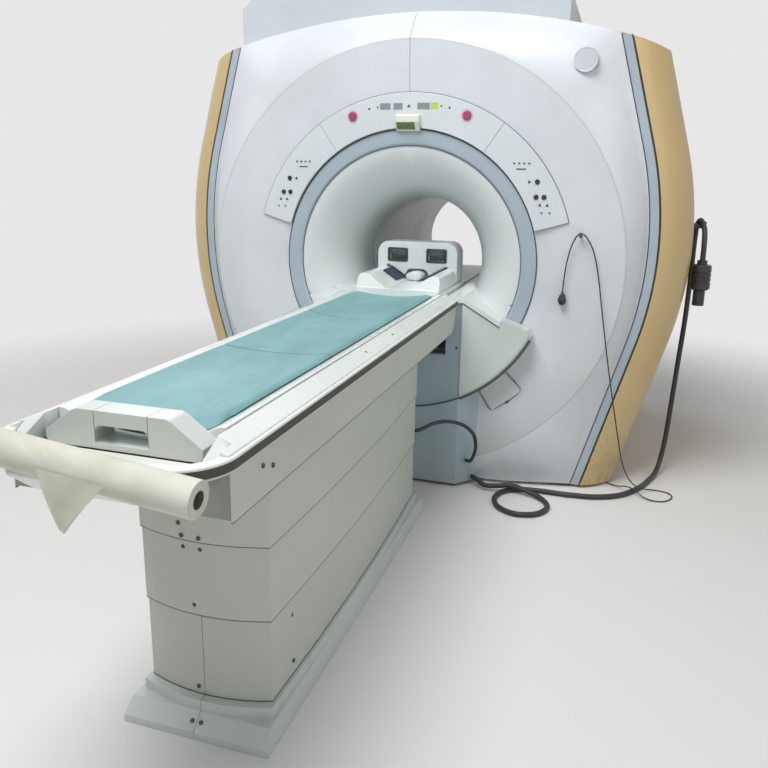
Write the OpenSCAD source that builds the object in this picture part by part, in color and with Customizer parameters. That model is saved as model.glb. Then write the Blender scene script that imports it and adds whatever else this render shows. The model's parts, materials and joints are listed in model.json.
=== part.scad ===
// Whole-body MRI scanner: a cylindrical magnet in moulded covers with a docked lifting patient table.
// +X is to the right as seen from the table end, +Y runs from the table into the bore, +Z is up.
// The origin lies on the floor below the isocentre.

/* [Magnet] */
// Height of the bore axis above the floor
iso_z = 1067; // [1060:1:1080]
// Inner radius of the bore liner
bore_r = 300; // [298:1:306]
// Length from the front ring to the rear cover
mag_len = 1720; // [1680:10:1900]
// Half width of the white front cover at its waist
cover_w = 1085; // [1080:1:1140]
// Height of the covers on the centre line
cover_top = 2195; // [2185:1:2260]
// Radius of the crease round the front dish
dish_r = 1000; // [960:1:1020]
// Width of the grey trim band beside the front cover
trim_w = 42; // [34:1:50]
// How far each side cover stands out past its trim band
side_bulge = 150; // [120:1:170]
// Wall of the moulded covers
wall = 6; // [4:1:8]
// Rise of the roof hood over the covers
hood_rise = 135; // [120:1:205]
// Outer radius of the cryostat vessel
cryo_r = 900; // [860:1:910]

/* [Front panel] */
// Outer radius of the grey bore ring
ring_r = 612; // [606:1:614]
// Radial width of the bore ring
ring_w = 71; // [60:1:80]
// Outer radius of the control panels
panel_r = 772; // [770:1:790]
// Radius of the two stop buttons
stop_r = 19; // [15:1:21]
// Radius of the round keys
key_r = 11; // [9:1:12]
// Press of a stop button
stop_travel = 3; // [2:0.5:3]
// Press of a key
key_travel = 2; // [1:0.5:2.5]

/* [Dock] */
// Radius of the dock chin about the bore axis
chin_r = 687; // [680:1:695]
// How far the dock chin stands out from the ring
chin_out = 97; // [90:1:110]
// Half width of the recessed dock front
dock_w = 300; // [290:1:306]
// Gap between the docked table and the chin
dock_gap = 18; // [12:1:24]

/* [Table] */
// Height of the cradle rims with the table raised
top_z = 950; // [946:1:956]
// Length of the table top from head to foot
top_len = 2175; // [2100:5:2250]
// Half width of the table top without its bumpers
top_w = 275; // [270:1:285]
// Depth of the table top
top_h = 171; // [165:1:180]
// Lift stroke of the table
lift_travel = 220; // [180:5:225]
// Half width of the pedestal
ped_w = 206; // [200:1:212]
// Distance from the ring to the head end of the pedestal
ped_head = 440; // [436:1:470]
// Distance from the ring to the foot end of the pedestal
ped_foot = 1902; // [1860:1:1930]
// Sheet of the pedestal shrouds
sheet = 3; // [2:0.5:3]
// Running gap between the shrouds
shroud_gap = 0.8; // [0.5:0.1:1.2]
// Height of the floor plinth
plinth_h = 90; // [80:1:100]

/* [Cradle] */
// Half width of the cradle
cradle_w = 215; // [210:1:216]
// How far the cradle reaches past the ring at rest
cradle_head = 345; // [320:1:350]
// Travel of the cradle into the bore
cradle_travel = 1600; // [1400:10:1640]
// Thickness of the pad on its centre line
pad_t = 28; // [22:1:34]

/* [Head coil] */
// Half width of the head coil
coil_w = 205; // [198:1:206]
// Height of the head coil above its tray
coil_h = 188; // [170:1:192]
// Length of the head coil shell
coil_len = 140; // [120:1:145]

/* [Paper roll] */
// Outer radius of the paper roll
roll_r = 48; // [40:1:52]
// Length of the paper roll
roll_len = 600; // [560:1:620]
// Radius of the roll's core hole
core_r = 21; // [18:1:24]
// Slope of the roll down to its right end
roll_tilt = 5.9; // [0:0.1:6.5]

/* [Hidden] */

fit = 0.3;
seam = 2;
floor_gap = 15;
front_y = -mag_len / 2;
fine = 96;

// Outline of the covers seen from the front: a round waist that runs out into straight flanks.
waist_z = iso_z + 103;
flank_r = 1650;
flank_a = 15.5;
roof_r = 3530;
bend_d = flank_r * sin(flank_a);
function side_drop(z) =
  let (d = abs(z - waist_z))
  d < bend_d ? flank_r - sqrt(flank_r * flank_r - d * d)
             : flank_r * (1 - cos(flank_a)) + tan(flank_a) * (d - bend_d);
function side_levels(lo, hi) =
  concat([lo], [for (k = [-3 : 3]) waist_z + flank_r * sin(k * flank_a / 3)], [hi]);

// Front skin: a dish inside the crease, falling away to the edge plane outside it.
crease_y = -15;
dish_y = 5;
brow_y = 12;
brow_w = 480;
edge_y = 90;
edge_deep = 34;
dish_slope = (crease_y - dish_y) / (dish_r - ring_r);
function dish_at(r) = dish_y + dish_slope * (r - ring_r);

// Side covers, as share of the bulge, depth behind the ring plane and which way their inner side steps.
side_y = edge_y + 4;
side_w = cover_w + trim_w + wall + 2;
rear_y = mag_len - 20;
side_steps = [
  [0, side_y, 1], [0.35, side_y + 26, 1], [0.95, side_y + 122, 1], [1, side_y + 300, 0],
  [1, rear_y - 260, 0], [0.72, rear_y - 70, -1], [0.3, rear_y, -1]
];
rear_w = side_w + side_bulge * side_steps[6][0];
hood_top = cover_top + hood_rise;
hood_left = 185 - cover_w;
hood_right = cover_w - 405;
hood_y = edge_y + edge_deep + 4;
hood_len = 1370;

// Bore and what lies round it.
bell_end = 400;
liner_t = 4;
ring_in = ring_r - ring_w;
bell_y = 12;
ring_deep = 20;
rear_flare = 60;
tube_len = mag_len - rear_flare - bell_end;
coil_out = bore_r + 34;
rf_len = mag_len - 920;
grad_in = bore_r + 50;
grad_out = bore_r + 140;
grad_len = mag_len - 2 * bell_end + 10;
cryo_in = bore_r + 190;
cryo_len = mag_len - 480;
cryo_y = (mag_len - cryo_len) / 2;

// Table heights and lengths, measured from the ring plane.
head_y = -(chin_out + dock_gap);
foot_y = head_y - top_len;
corner_r = 115;
top_lo = top_z - top_h;
frame_lo = top_lo + 6;
deck_z = top_z - 78;
rail_in = cradle_w + 4;
skin = 3.4;
bumper_t = 8;
bumper_h = 32;
bumper_top = top_z - 25;
cap_y = foot_y + 150;
nose_r = 110;

// Cradle and pad sections.
cradle_lo = top_z - 64;
dish_d = 45;
rim_w = 15;
dish_half = cradle_w - rim_w;
dish_arc = (dish_half * dish_half + dish_d * dish_d) / (2 * dish_d);
pad_rise = 24;
pad_half = dish_half - 3;
pad_arc = (pad_half * pad_half + pad_rise * pad_rise) / (2 * pad_rise);
pad_lo = top_z - dish_d;
handle_len = 65;
handle_y = foot_y + 125;
cradle_foot = handle_y + handle_len;
tray_y = cradle_head - 500;
pad_head = tray_y - 15;
tray_z = top_z + 12;
coil_y = cradle_head - 155;
coil_wall = 14;
pod_in = 58;
pod_h = 62;
pod_a = atan(57 / 88);
pad_strip = 9;
function on_pod(t, h) = [pod_in + t * cos(pod_a) - h * sin(pod_a), t * sin(pod_a) + h * cos(pod_a)];

// Slot that the head of the cradle sinks into when the table goes down.
slot_w = cradle_w + 8;
slot_z = cradle_lo - lift_travel - 10;
slot_end = cradle_head + 27;
well_t = 4;

// Pedestal tiers.
tier_top = top_lo - 232;
tier_mid = tier_top - 214;
tier_lap = 50;
ped_w2 = ped_w - sheet - shroud_gap;
ped_w3 = ped_w2 - sheet - shroud_gap;
ped_foot2 = ped_foot - sheet - shroud_gap;
ped_foot3 = ped_foot2 - sheet - shroud_gap;
plinth_w = ped_w + 12;
skirt_out = 58;
collar_out = 20;
skirt_lo = 22;
skirt_hi = skirt_lo + skirt_out - collar_out;
mast_w = 75;

// Control panels.
panel_y = -12;
split_a = 55.4;
wing_a = 16;
stop_pos = [270, 669];
key_top = [596, 386];
key_outer = [629, 320];
key_inner = [594, 320];

// Dock chin outline, right half, as offset from the centre line and height.
chin_a = 26;
chin_tip = [chin_r * cos(chin_a), iso_z - chin_r * sin(chin_a)];
lip_x = 475;
floor_t = 27;
floor_z = top_z - 17;
floor_end = 530;
ramp = 0.59;
function floor_at(x) = floor_z - ramp * (x - dock_w);
column_w = 85;

// Paper roll.
roll_y = foot_y - bumper_t - roll_r - 2;
roll_z = top_z - 15;
arm_t = 5;
arm_x = -roll_len / 2 * cos(roll_tilt) - roll_r * sin(roll_tilt) - 1 - arm_t;
function axis_z(x) = roll_z - x * tan(roll_tilt);
spindle_r = core_r - 9;

white = "#e9edf2";
cream = "#ece9df";
beige = "#cdb27e";
grey = "#8f9aa6";
shell_grey = "#b4bbb0";
dark = "#2b2e33";
steel = "#9ba1a8";
teal = "#86bcc4";
rubber = "#4c483e";

// Moves a piece that is drawn from the ring plane to its place.
module from_ring() translate([0, front_y, 0]) children();

// Flat outline in X and Z, made solid between two depths.
module slab(y0, y1) translate([0, y1, 0]) rotate([90, 0, 0]) linear_extrude(y1 - y0) children();

// Side outline in Y and Z, made solid between two offsets.
module side_slab(x0, x1) translate([x0, 0, 0]) rotate([90, 0, 90]) linear_extrude(x1 - x0) children();

// Section in radius and depth, turned about the bore axis between two clock angles.
module round_bore(a0 = 0, a1 = 360)
  translate([0, 0, iso_z]) rotate([0, -a1, 0]) rotate([-90, 0, 0])
    rotate_extrude(angle = a1 - a0, $fn = 180) children();

module mirrored() {
  children();
  mirror([1, 0, 0]) children();
}

// Height at which the roof arc meets the flank of an outline.
function roof_at(x, hi) = hi - roof_r + sqrt(roof_r * roof_r - x * x);
function corner_x(w, hi) = w - side_drop(roof_at(w - 120, hi));

// Points of the covers' outline at a given waist width, right half from the bottom up.
function half_points(w, lo, hi) =
  let (xc = corner_x(w, hi), zc = roof_at(xc, hi))
  concat([for (z = side_levels(lo, zc)) [w - side_drop(z), z]],
    [for (k = [5.5 : -1 : 0.5]) let (x = xc * k / 6) [x, roof_at(x, hi)]]);

// Both halves of a symmetric outline, from the points of its right half.
function both(p) = concat(p, [for (i = [len(p) - 1 : -1 : 0]) [-p[i][0], p[i][1]]]);

module half_outline(w, lo, hi) polygon(concat([[0, lo]], half_points(w, lo, hi), [[0, hi]]));

module outline(w, lo, hi) polygon(both(half_points(w, lo, hi)));

module half_space(side)
  translate([side > 0 ? seam / 2 : -3000 - seam / 2, -2000, -10]) cube([3000, 5000, 4000]);

// Box with round upper edges, as an outline standing on z = 0.
module round_top(w, h, r) {
  translate([-w, 0]) square([2 * w, h - r]);
  translate([r - w, 0]) square([2 * (w - r), h]);
  for (s = [-1, 1]) translate([s * (w - r), h - r]) circle(r, $fn = fine);
}

// Convex body of the front cover, drawn smaller by an inset for its inner side.
module front_body(in) {
  hull() {
    slab(crease_y + in, crease_y + in + 1) translate([0, iso_z]) circle(dish_r - in, $fn = 72);
    slab(brow_y + in, brow_y + in + 1) translate([-brow_w, floor_gap + in]) square([2 * brow_w, 60]);
    slab(edge_y + in, edge_y + edge_deep + in) outline(cover_w - in, floor_gap + in, cover_top - in);
  }
}

module dish_skin() {
  in_r = ring_r + seam;
  round_bore() polygon([
    [in_r, dish_y], [dish_r - 1, crease_y], [dish_r - 1, crease_y + wall],
    [in_r + wall, dish_y + wall], [in_r + wall, dish_y + 40], [in_r, dish_y + 40]
  ]);
}

module front_cover(side) color(white) from_ring() difference() {
  intersection() {
    union() {
      difference() {
        front_body(0);
        front_body(wall);
        round_bore() translate([0, crease_y - 1]) square([dish_r - wall, 200]);
      }
      dish_skin();
    }
    half_space(side);
  }
  column_block(1, 0);
}

module trim_bands() color(grey) from_ring() {
  zs = side_levels(floor_gap, roof_at(corner_x(cover_w + trim_w, cover_top), cover_top));
  mirrored() slab(edge_y + 2, edge_y + edge_deep) polygon(concat(
    [for (z = zs) [cover_w + trim_w - side_drop(z), z]],
    [for (i = [len(zs) - 1 : -1 : 0]) [cover_w + seam - side_drop(zs[i]), zs[i]]]));
}

// Convex shell of the side and roof covers.
module cover_body(in)
  hull() for (s = side_steps)
    slab(s[1] + in * s[2], s[1] + in * s[2] + 1)
      half_outline(side_w + side_bulge * s[0] - in, floor_gap - in * 2, cover_top - 3 - in);

module side_cover(side) color(beige) from_ring() intersection() {
  mirror([side > 0 ? 0 : 1, 0, 0]) difference() {
    cover_body(0);
    cover_body(wall);
    slab(side_y - 10, edge_y + edge_deep + 1) half_outline(cover_w + trim_w + fit, 0, cover_top + 50);
  }
  translate([side > 0 ? hood_right + fit : hood_left - fit - 3000, 0, 0]) cube([3000, 3000, 4000]);
}

// Front outline of the roof hood, whose lower edge follows the roof arc of the covers.
function hood_points(in, drop) = concat(
  [[hood_right - in, hood_top - 75], [hood_right - 90 - in / 2, hood_top - in],
   [hood_left + 90 + in / 2, hood_top - in], [hood_left + in, hood_top - 75]],
  [for (k = [0 : 12]) let (x = hood_left + in + (hood_right - hood_left - 2 * in) * k / 12)
    [x, roof_at(x, cover_top) - drop]]);

// Side outline of the roof hood, sloping down to the rear cover.
module hood_side(in) side_slab(hood_left, hood_right) polygon([
  [hood_y + in, 1500], [hood_y + in, hood_top + 1], [hood_y + hood_len - in, hood_top + 1],
  [rear_y - in, cover_top + 10 - in], [rear_y - in, 1500]
]);

module roof_hood() color("#c3c9cf") from_ring() difference() {
  intersection() {
    slab(hood_y, rear_y) polygon(hood_points(0, 45));
    hood_side(0);
  }
  intersection() {
    slab(hood_y + wall, rear_y - wall) polygon(hood_points(wall, 60));
    hood_side(wall);
  }
  for (k = [0 : 11])
    translate([hood_left + 260 + k * 90, hood_y + hood_len - 320, hood_top - wall - 1])
      cube([30, 200, wall + 2]);
}

// Rear cover: a flat back with vent slots and a turned flare round the rear of the bore.
flare_r = bore_r + rear_flare;
flare_y = mag_len - rear_flare;
function flare_at(a, r) = [flare_r - r * cos(a), flare_y + r * sin(a)];
module rear_cover() color(white) from_ring() {
  y0 = rear_y + 1 + fit;
  difference() {
    slab(y0, y0 + wall) outline(rear_w - wall, floor_gap, cover_top - 6);
    round_bore() translate([0, y0 - 1]) square([flare_r + 22, wall + 2]);
    for (s = [-1, 1], k = [0 : 6])
      translate([s * 620 - 90, y0 - 1, 330 + k * 34]) cube([180, wall + 2, 12]);
  }
  round_bore() polygon(concat(
    [for (k = [0 : 8]) flare_at(k * 11.25, rear_flare)],
    [[flare_r + 20, mag_len], [flare_r + 26, mag_len - 6], [flare_r + 26, y0 + wall], [flare_r + 26, y0],
     [flare_r, y0]],
    [for (k = [6 : -1 : 0]) flare_at(k * 11.25, rear_flare - wall)]));
}

module bore_ring() color(grey) from_ring() round_bore() polygon([
  [ring_in, bell_y - 2], [ring_in + 8, 3], [ring_in + 30, 0], [ring_r - 12, 0], [ring_r, 3],
  [ring_r, ring_deep], [ring_in, ring_deep]
]);

// Bell mouth: a quarter ellipse from the ring to the liner.
bell_dr = ring_in - seam - bore_r;
bell_dy = bell_end - bell_y;
function bell_at(a) = [bore_r + bell_dr * (1 - sin(a)), bell_end - bell_dy * cos(a)];
bell_curve = [for (k = [0 : 15]) bell_at(k * 6)];

// Space inside the bell mouth, drawn larger or smaller by a margin.
module bell_space(grow)
  round_bore() polygon(concat([[0, -chin_out - 60], [ring_r - 8, -chin_out - 60], [ring_r - 8, -fit],
    [ring_in - seam + grow, -fit]], [for (p = bell_curve) [p[0] + grow, p[1]]],
    [[bore_r + grow, mag_len], [0, mag_len]]));

module slot_space(grow)
  translate([-slot_w - grow, -chin_out - 80, slot_z - grow])
    cube([2 * (slot_w + grow), slot_end + chin_out + 80 + grow, floor_z + 30 - slot_z]);

// Two upper segments that meet over the bore, and a lower one with the slot, hidden by the shoulders.
bell_joins = [-20, 90, 200, 340];
module bell_mouth() color("#dfe4e8") from_ring() difference() {
  for (i = [0 : 2]) round_bore(bell_joins[i] + 0.02, bell_joins[i + 1] - 0.02) polygon(concat(
    bell_curve, [[bore_r, bell_end - fit], [bore_r + 5, bell_end - fit]],
    [for (k = [14 : -1 : 1]) bell_at(k * 6) + [5 * cos(k * 3), 5]],
    [[ring_in + 6, ring_deep + 5 + fit], [ring_r + seam - fit, ring_deep + 5 + fit],
     [ring_r + seam - fit, ring_deep + fit], [ring_in - fit, ring_deep + fit], [ring_in - fit, bell_y]]));
  slot_space(well_t + fit);
}

// Well below the slot, open to the mouth and to the dock front.
module slot_well() difference() {
  slot_space(well_t);
  slot_space(0);
  bell_inside();
  translate([-500, -300, floor_z - 60]) cube([1000, 1000, 400]);
  translate([-500, -300, 0]) cube([1000, 300 - chin_out + 20 + fit, 2000]);
}

// Space inside the bell mouth behind its lip.
module bell_inside() round_bore() polygon(concat([[0, bell_y], [ring_in - seam, bell_y]],
  [for (p = bell_curve) [p[0] + 2, p[1]]], [[bore_r + 2, mag_len], [0, mag_len]]));

module bore_liner() color("#cfd6da") from_ring() round_bore()
  translate([bore_r, bell_end]) square([liner_t, tube_len - fit]);

module body_coil() color("#b58a5a") from_ring() round_bore() {
  in_r = bore_r + liner_t + fit;
  y0 = (mag_len - rf_len) / 2;
  difference() {
    translate([in_r, y0]) square([coil_out - in_r, rf_len]);
    for (k = [1 : 5]) translate([coil_out - 6, y0 + rf_len * k / 6 - 15]) square([10, 30]);
  }
  for (y = [y0, y0 + rf_len - 20]) translate([in_r, y]) square([grad_in - fit - in_r, 20]);
}

module gradient_coil() color("#6b7178") from_ring() {
  y0 = (mag_len - grad_len) / 2;
  round_bore() translate([grad_in, y0]) square([grad_out - grad_in, grad_len]);
  for (a = [45 : 90 : 315], y = [y0 + 10, y0 + grad_len - 70]) round_bore(a - 5, a + 5)
    translate([grad_out - 8, y]) square([cryo_in - fit - grad_out + 8, 60]);
}

// Cryostat vessel with end flanges and a service neck on top.
module cryostat() color(steel) from_ring() {
  difference() {
    round_bore() union() {
      translate([cryo_in, cryo_y + 30]) square([cryo_r - cryo_in, cryo_len - 60]);
      translate([cryo_in, cryo_y]) square([cryo_r - cryo_in - 40, cryo_len]);
      translate([cryo_r - 40, cryo_y + 40]) circle(40, $fn = fine);
      translate([cryo_r - 40, cryo_y + cryo_len - 40]) circle(40, $fn = fine);
    }
    for (a = [30 : 60 : 330]) round_bore(a - 1.5, a + 1.5)
      translate([cryo_r - 60, cryo_y - 1]) square([30, 8]);
  }
  translate([neck_x, neck_y, iso_z + cryo_r - 200]) cylinder(r = 130, h = 250, $fn = fine);
}

neck_x = -300;
neck_y = 760;

module cold_head() color("#737b84") from_ring() translate([neck_x, neck_y, iso_z + cryo_r + 50 + fit]) {
  cylinder(r = 115, h = 24, $fn = fine);
  cylinder(r = 62, h = 150, $fn = fine);
  translate([0, 0, 150]) cylinder(r = 80, h = 60, $fn = fine);
  translate([60, -35, 160]) cube([90, 70, 40]);
  for (a = [0 : 45 : 315]) rotate([0, 0, a]) translate([96, 0, 22]) cylinder(r = 8, h = 10, $fn = fine);
}

// Steel base: two side rails with anchor holes, a cross member and four saddles.
anchor = [660, 560];
module base_frame() color("#6f757b") {
  foot_x = 560;
  difference() {
    union() {
      mirrored() translate([foot_x - 130, -680, 0]) cube([260, 1360, 16]);
      translate([-foot_x, -110, 0]) cube([2 * foot_x, 220, 16]);
      mirrored() for (s = [-1, 1]) translate([foot_x - 90, s * 450 - 90, 0]) cube([180, 180, 500]);
    }
    translate([0, -1000, iso_z]) rotate([-90, 0, 0]) cylinder(r = cryo_r, h = 2000, $fn = 180);
    for (x = [-1, 1], y = [-1, 1]) translate([x * anchor[0], y * anchor[1], -1])
      cylinder(r = 13, h = 18, $fn = fine);
  }
}

// Control panel segment between two clock angles, with holes for its buttons.
module panel_plate(a0, a1, holes) color("#e4e9ec") from_ring() difference() {
  round_bore(a0, a1) polygon([
    [ring_r + 6, panel_y + 2], [ring_r + 8, panel_y], [panel_r - 2, panel_y], [panel_r, panel_y + 2],
    [panel_r, dish_at(panel_r) - fit], [ring_r + 6, dish_at(ring_r + 6) - fit]
  ]);
  for (h = holes) translate([h[0], -40, iso_z + h[1]]) rotate([-90, 0, 0])
    cylinder(r = h[2], h = 60, $fn = fine);
}

module push_button(pos, r, out, hue) color(hue) from_ring()
  translate([pos[0], 0, iso_z + pos[1]]) rotate([-90, 0, 0]) {
    translate([0, 0, panel_y - out]) cylinder(r = r - 0.5, h = out + 6, $fn = fine);
    translate([0, 0, panel_y - out - 1]) cylinder(r = r - 2.5, h = 2, $fn = fine);
  }

function flip(p) = [-p[0], p[1]];
function hole(p, r) = [p[0], p[1], r];

module control_panels() {
  keys = [for (p = [key_top, key_inner, key_outer]) hole(p, key_r)];
  panel_plate(split_a + 0.15, 179.85 - split_a, [hole(stop_pos, stop_r), hole(flip(stop_pos), stop_r)]);
  panel_plate(wing_a, split_a, keys);
  mirror([1, 0, 0]) panel_plate(wing_a, split_a, keys);
}
module stop_left() push_button(flip(stop_pos), stop_r, 8, "#c23a66");
module stop_right() push_button(stop_pos, stop_r, 8, "#c23a66");
module key_left_top() push_button(flip(key_top), key_r, 4, dark);
module key_left_inner() push_button(flip(key_inner), key_r, 4, dark);
module key_left_outer() push_button(flip(key_outer), key_r, 4, dark);
module key_right_top() push_button(key_top, key_r, 4, dark);
module key_right_inner() push_button(key_inner, key_r, 4, dark);
module key_right_outer() push_button(key_outer, key_r, 4, dark);

// Housing of the alignment light over the top of the bore.
module aperture_box() color(cream) from_ring() {
  step_z = iso_z + ring_r + 1;
  side_slab(-57, 57) polygon([
    [panel_y - fit, step_z], [panel_y - fit, step_z + 60], [-34, step_z + 62], [-38, step_z + 56],
    [-38, step_z + 28], [-14, step_z - 10], [-fit, step_z - 10], [-fit, step_z]
  ]);
}

// Right half of the dock chin's outline in X and Z, drawn smaller by an inset.
module chin_outline(in) polygon([
  [dock_w + in, 0], [chin_r, 0], [chin_r, chin_tip[1] - in],
  [chin_tip[0] - in * 1.2, chin_tip[1] - in * 0.6], [chin_tip[0] - 16 - in, chin_tip[1] + 30 - in * 1.3],
  [lip_x + 4 + in, floor_at(lip_x) + 7 - in * 1.1], [lip_x + in, floor_at(lip_x) - in],
  [lip_x + in, floor_at(lip_x) - floor_t - fit - in * 1.2], [dock_w + in, floor_z - floor_t - fit - in * 1.2]
]);

// Section of the chin about the bore axis, with a round front edge.
module chin_section(in) {
  e = 22 - in;
  translate([0, -chin_out + in]) square([chin_r - in - e, chin_out - in - fit]);
  translate([0, -chin_out + in + e]) square([chin_r - in, chin_out - in - e - fit]);
  translate([chin_r - in - e, -chin_out + in + e]) circle(e, $fn = fine);
}

module dock_chin() color(white) from_ring() mirrored() difference() {
  intersection() {
    slab(-chin_out - 1, 1) chin_outline(0);
    round_bore() chin_section(0);
  }
  intersection() {
    slab(-chin_out + wall, 2) chin_outline(wall);
    round_bore() union() {
      chin_section(wall);
      translate([0, -1]) square([chin_r - wall, 10]);
    }
  }
}

// Block of the column below the chin, grown by a margin, with slanted sides that run into the cover.
column_slope = column_w / chin_out;
column_back = 40;
column_top = iso_z - chin_r + 90;
module column_block(grow, lo) translate([0, 0, lo]) linear_extrude(column_top + grow - lo)
  polygon(both([[dock_w - 5 + grow, -chin_out - grow],
    [dock_w - 5 + grow + column_slope * (column_back + chin_out), column_back]]));

// Place and turn of a gland on the right side of the column, at a depth and height.
side_turn = atan(1 / column_slope);
module on_column(y, z) translate([dock_w - 5 + column_slope * (y + chin_out), y, z])
  rotate([0, 0, side_turn - 90]) rotate([0, 90, 0]) children();

// Recessed dock front between the chin halves, and the column below them with its two glands.
module dock_front() color("#a9b0b4") from_ring() {
  y0 = -chin_out + 15;
  intersection() {
    slab(y0, y0 + 5) difference() {
      translate([-dock_w + fit, floor_gap]) square([2 * (dock_w - fit), floor_z - floor_t - fit - floor_gap]);
      translate([-slot_w, slot_z - well_t - fit]) square([2 * slot_w, 2000]);
    }
    round_bore() translate([0, -chin_out]) square([chin_r, chin_out]);
  }
  difference() {
    union() {
      column_block(0, floor_gap);
      on_column(-57, 132) cylinder(r = 14, h = 10, $fn = fine);
      on_column(-25, 40) cylinder(r = 18, h = 10, $fn = fine);
    }
    difference() {
      column_block(-wall, 0);
      round_bore() translate([0, -chin_out - 50]) square([chin_r + wall, 300]);
    }
    round_bore() translate([0, -chin_out - 50]) square([chin_r + fit, 300]);
    translate([-500, column_back - wall - 1, 0]) cube([1000, 100, 1000]);
  }
}

// Two sloping shoulders of the mouth that carry on the line of the table rails, and the well between them.
module mouth_floor() color("#e6e8f0") from_ring() {
  slot_well();
  mirrored() difference() {
    intersection() {
      slab(-chin_out, bell_end) polygon([
        [slot_w, floor_z - 2], [dock_w, floor_z], [floor_end, floor_at(floor_end)],
        [floor_end, floor_at(floor_end) - floor_t], [dock_w, floor_z - floor_t], [slot_w, floor_z - floor_t]
      ]);
      bell_space(-fit);
    }
    slab(-chin_out - 1, 0) translate([lip_x - fit, 0]) square([200, 3000]);
  }
}

// Curved access hatch beside the chin with its latch.
module dock_hatch() color(white) from_ring() {
  in_r = chin_r + 4;
  out_r = chin_r + 128;
  difference() {
    round_bore(-57, -45) polygon([
      [in_r, dish_at(in_r) - 5], [out_r, dish_at(out_r) - 5], [out_r, dish_at(out_r) - fit],
      [in_r, dish_at(in_r) - fit]
    ]);
    round_bore(-55, -49) polygon([
      [out_r - 16, dish_at(out_r) - 20], [out_r - 4, dish_at(out_r) - 20], [out_r - 4, dish_at(out_r) - 2.5],
      [out_r - 16, dish_at(out_r) - 2.5]
    ]);
  }
}

// Fixed bridge along the bore that the cradle runs on.
module bore_bridge() color("#d5dadd") from_ring() {
  z0 = cradle_lo - 6;
  slab(bell_end + 1, mag_len - 90) intersection() {
    polygon(both([[slot_w + 60, z0 - 15], [slot_w + 60, floor_z - 8], [slot_w, floor_z - 8], [slot_w, z0],
      [140, z0], [140, cradle_lo - fit], [115, cradle_lo - fit], [115, z0]]));
    translate([0, iso_z]) circle(bore_r - fit, $fn = 180);
  }
}

// Hook for the call cord on the front cover and peg for the coil cable on the side cover.
hook_at = [800, 157];
peg_at = [side_y + 306, 1262];
module cord_hooks() color(dark) from_ring() {
  y0 = dish_at(norm(hook_at)) - fit;
  translate([hook_at[0], y0 - 32, iso_z + hook_at[1]]) rotate([-90, 0, 0]) cylinder(r = 6, h = 32, $fn = fine);
  translate([hook_at[0] - 6, y0 - 36, iso_z + hook_at[1] - 6]) cube([12, 4, 22]);
  translate([side_w + side_bulge - side_drop(peg_at[1]) + fit, peg_at[0], peg_at[1]]) rotate([0, 90, 0]) {
    cylinder(r = 12, h = 54, $fn = fine);
    translate([-20, -12, 54]) cube([32, 24, 5]);
  }
}

// Pan head screw.
module screw() {
  cylinder(r = 6, h = 2, $fn = fine);
  difference() {
    translate([0, 0, 2]) cylinder(r = 5, h = 1.2, $fn = fine);
    translate([-4, -0.6, 2.4]) cube([8, 1.2, 2]);
  }
}

// Place on the rounded foot of a tier, facing away from it.
module on_foot(x, z, foot, out) translate([0, foot_arc - foot, z]) rotate([90, 0, asin(x / foot_arc)])
  translate([0, 0, foot_arc + out]) children();

// Screws stand proud of a tier, or flush in it where another tier slides over them.
proud = fit;
flush = fit - sheet - 1;
hole_r = 6.3;
side_screw_y = 166 - ped_foot;
side_screw_z = tier_mid - 55;
module fixed_screws() color(dark) from_ring() {
  on_foot(-18, plinth_h + 24, ped_foot3, proud) screw();
  for (p = [[side_screw_z, flush], [plinth_h + 43, proud]])
    translate([ped_w3 - flank_off(side_screw_y) + p[1], side_screw_y, p[0]]) rotate([0, 90, 0]) screw();
  for (x = [-13, 13]) translate([x, -ped_foot - (skirt_out + collar_out) / 2, (skirt_lo + skirt_hi) / 2])
    rotate([45, 0, 0]) translate([0, 0, proud]) screw();
  for (x = [24 - dock_w, dock_w - 24]) translate([x, 15 - chin_out - fit, iso_z - chin_r + 310])
    rotate([90, 0, 0]) screw();
}

module top_screws() color(dark) from_ring() {
  for (p = [[-44, 14], [7, 14], [-52, 48]]) on_foot(p[0], tier_top + p[1], ped_foot, proud) screw();
  for (p = [[236, 95], [284, 112]]) translate([top_w + proud, foot_y + p[0], top_z - p[1]])
    rotate([0, 90, 0]) screw();
}

// Slightly bowed plan of the pedestal, with a rounder foot end.
ped_bow = 15000;
ped_mid = 1250;
foot_arc = 540;
function flank_off(y) = ped_bow - sqrt(ped_bow * ped_bow - (y + ped_mid) * (y + ped_mid));
module ped_plan(w, head, foot) polygon(both(concat(
  [for (k = [0 : 5]) let (x = w * (k + 0.5) / 6 - (k == 5 ? w / 12 + flank_off(-foot) - 0.01 : 0))
    [x, foot_arc - foot - sqrt(foot_arc * foot_arc - x * x)]],
  [for (k = [1 : 6]) let (y = -foot + 34 + (foot - 34 - head) * (k - 1) / 5) [w - flank_off(y), y]])));

module tier(w, head, foot, z0, z1) translate([0, 0, z0]) linear_extrude(z1 - z0) difference() {
  ped_plan(w, head, foot);
  ped_plan(w - sheet, head + sheet, foot - sheet);
}

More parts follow.
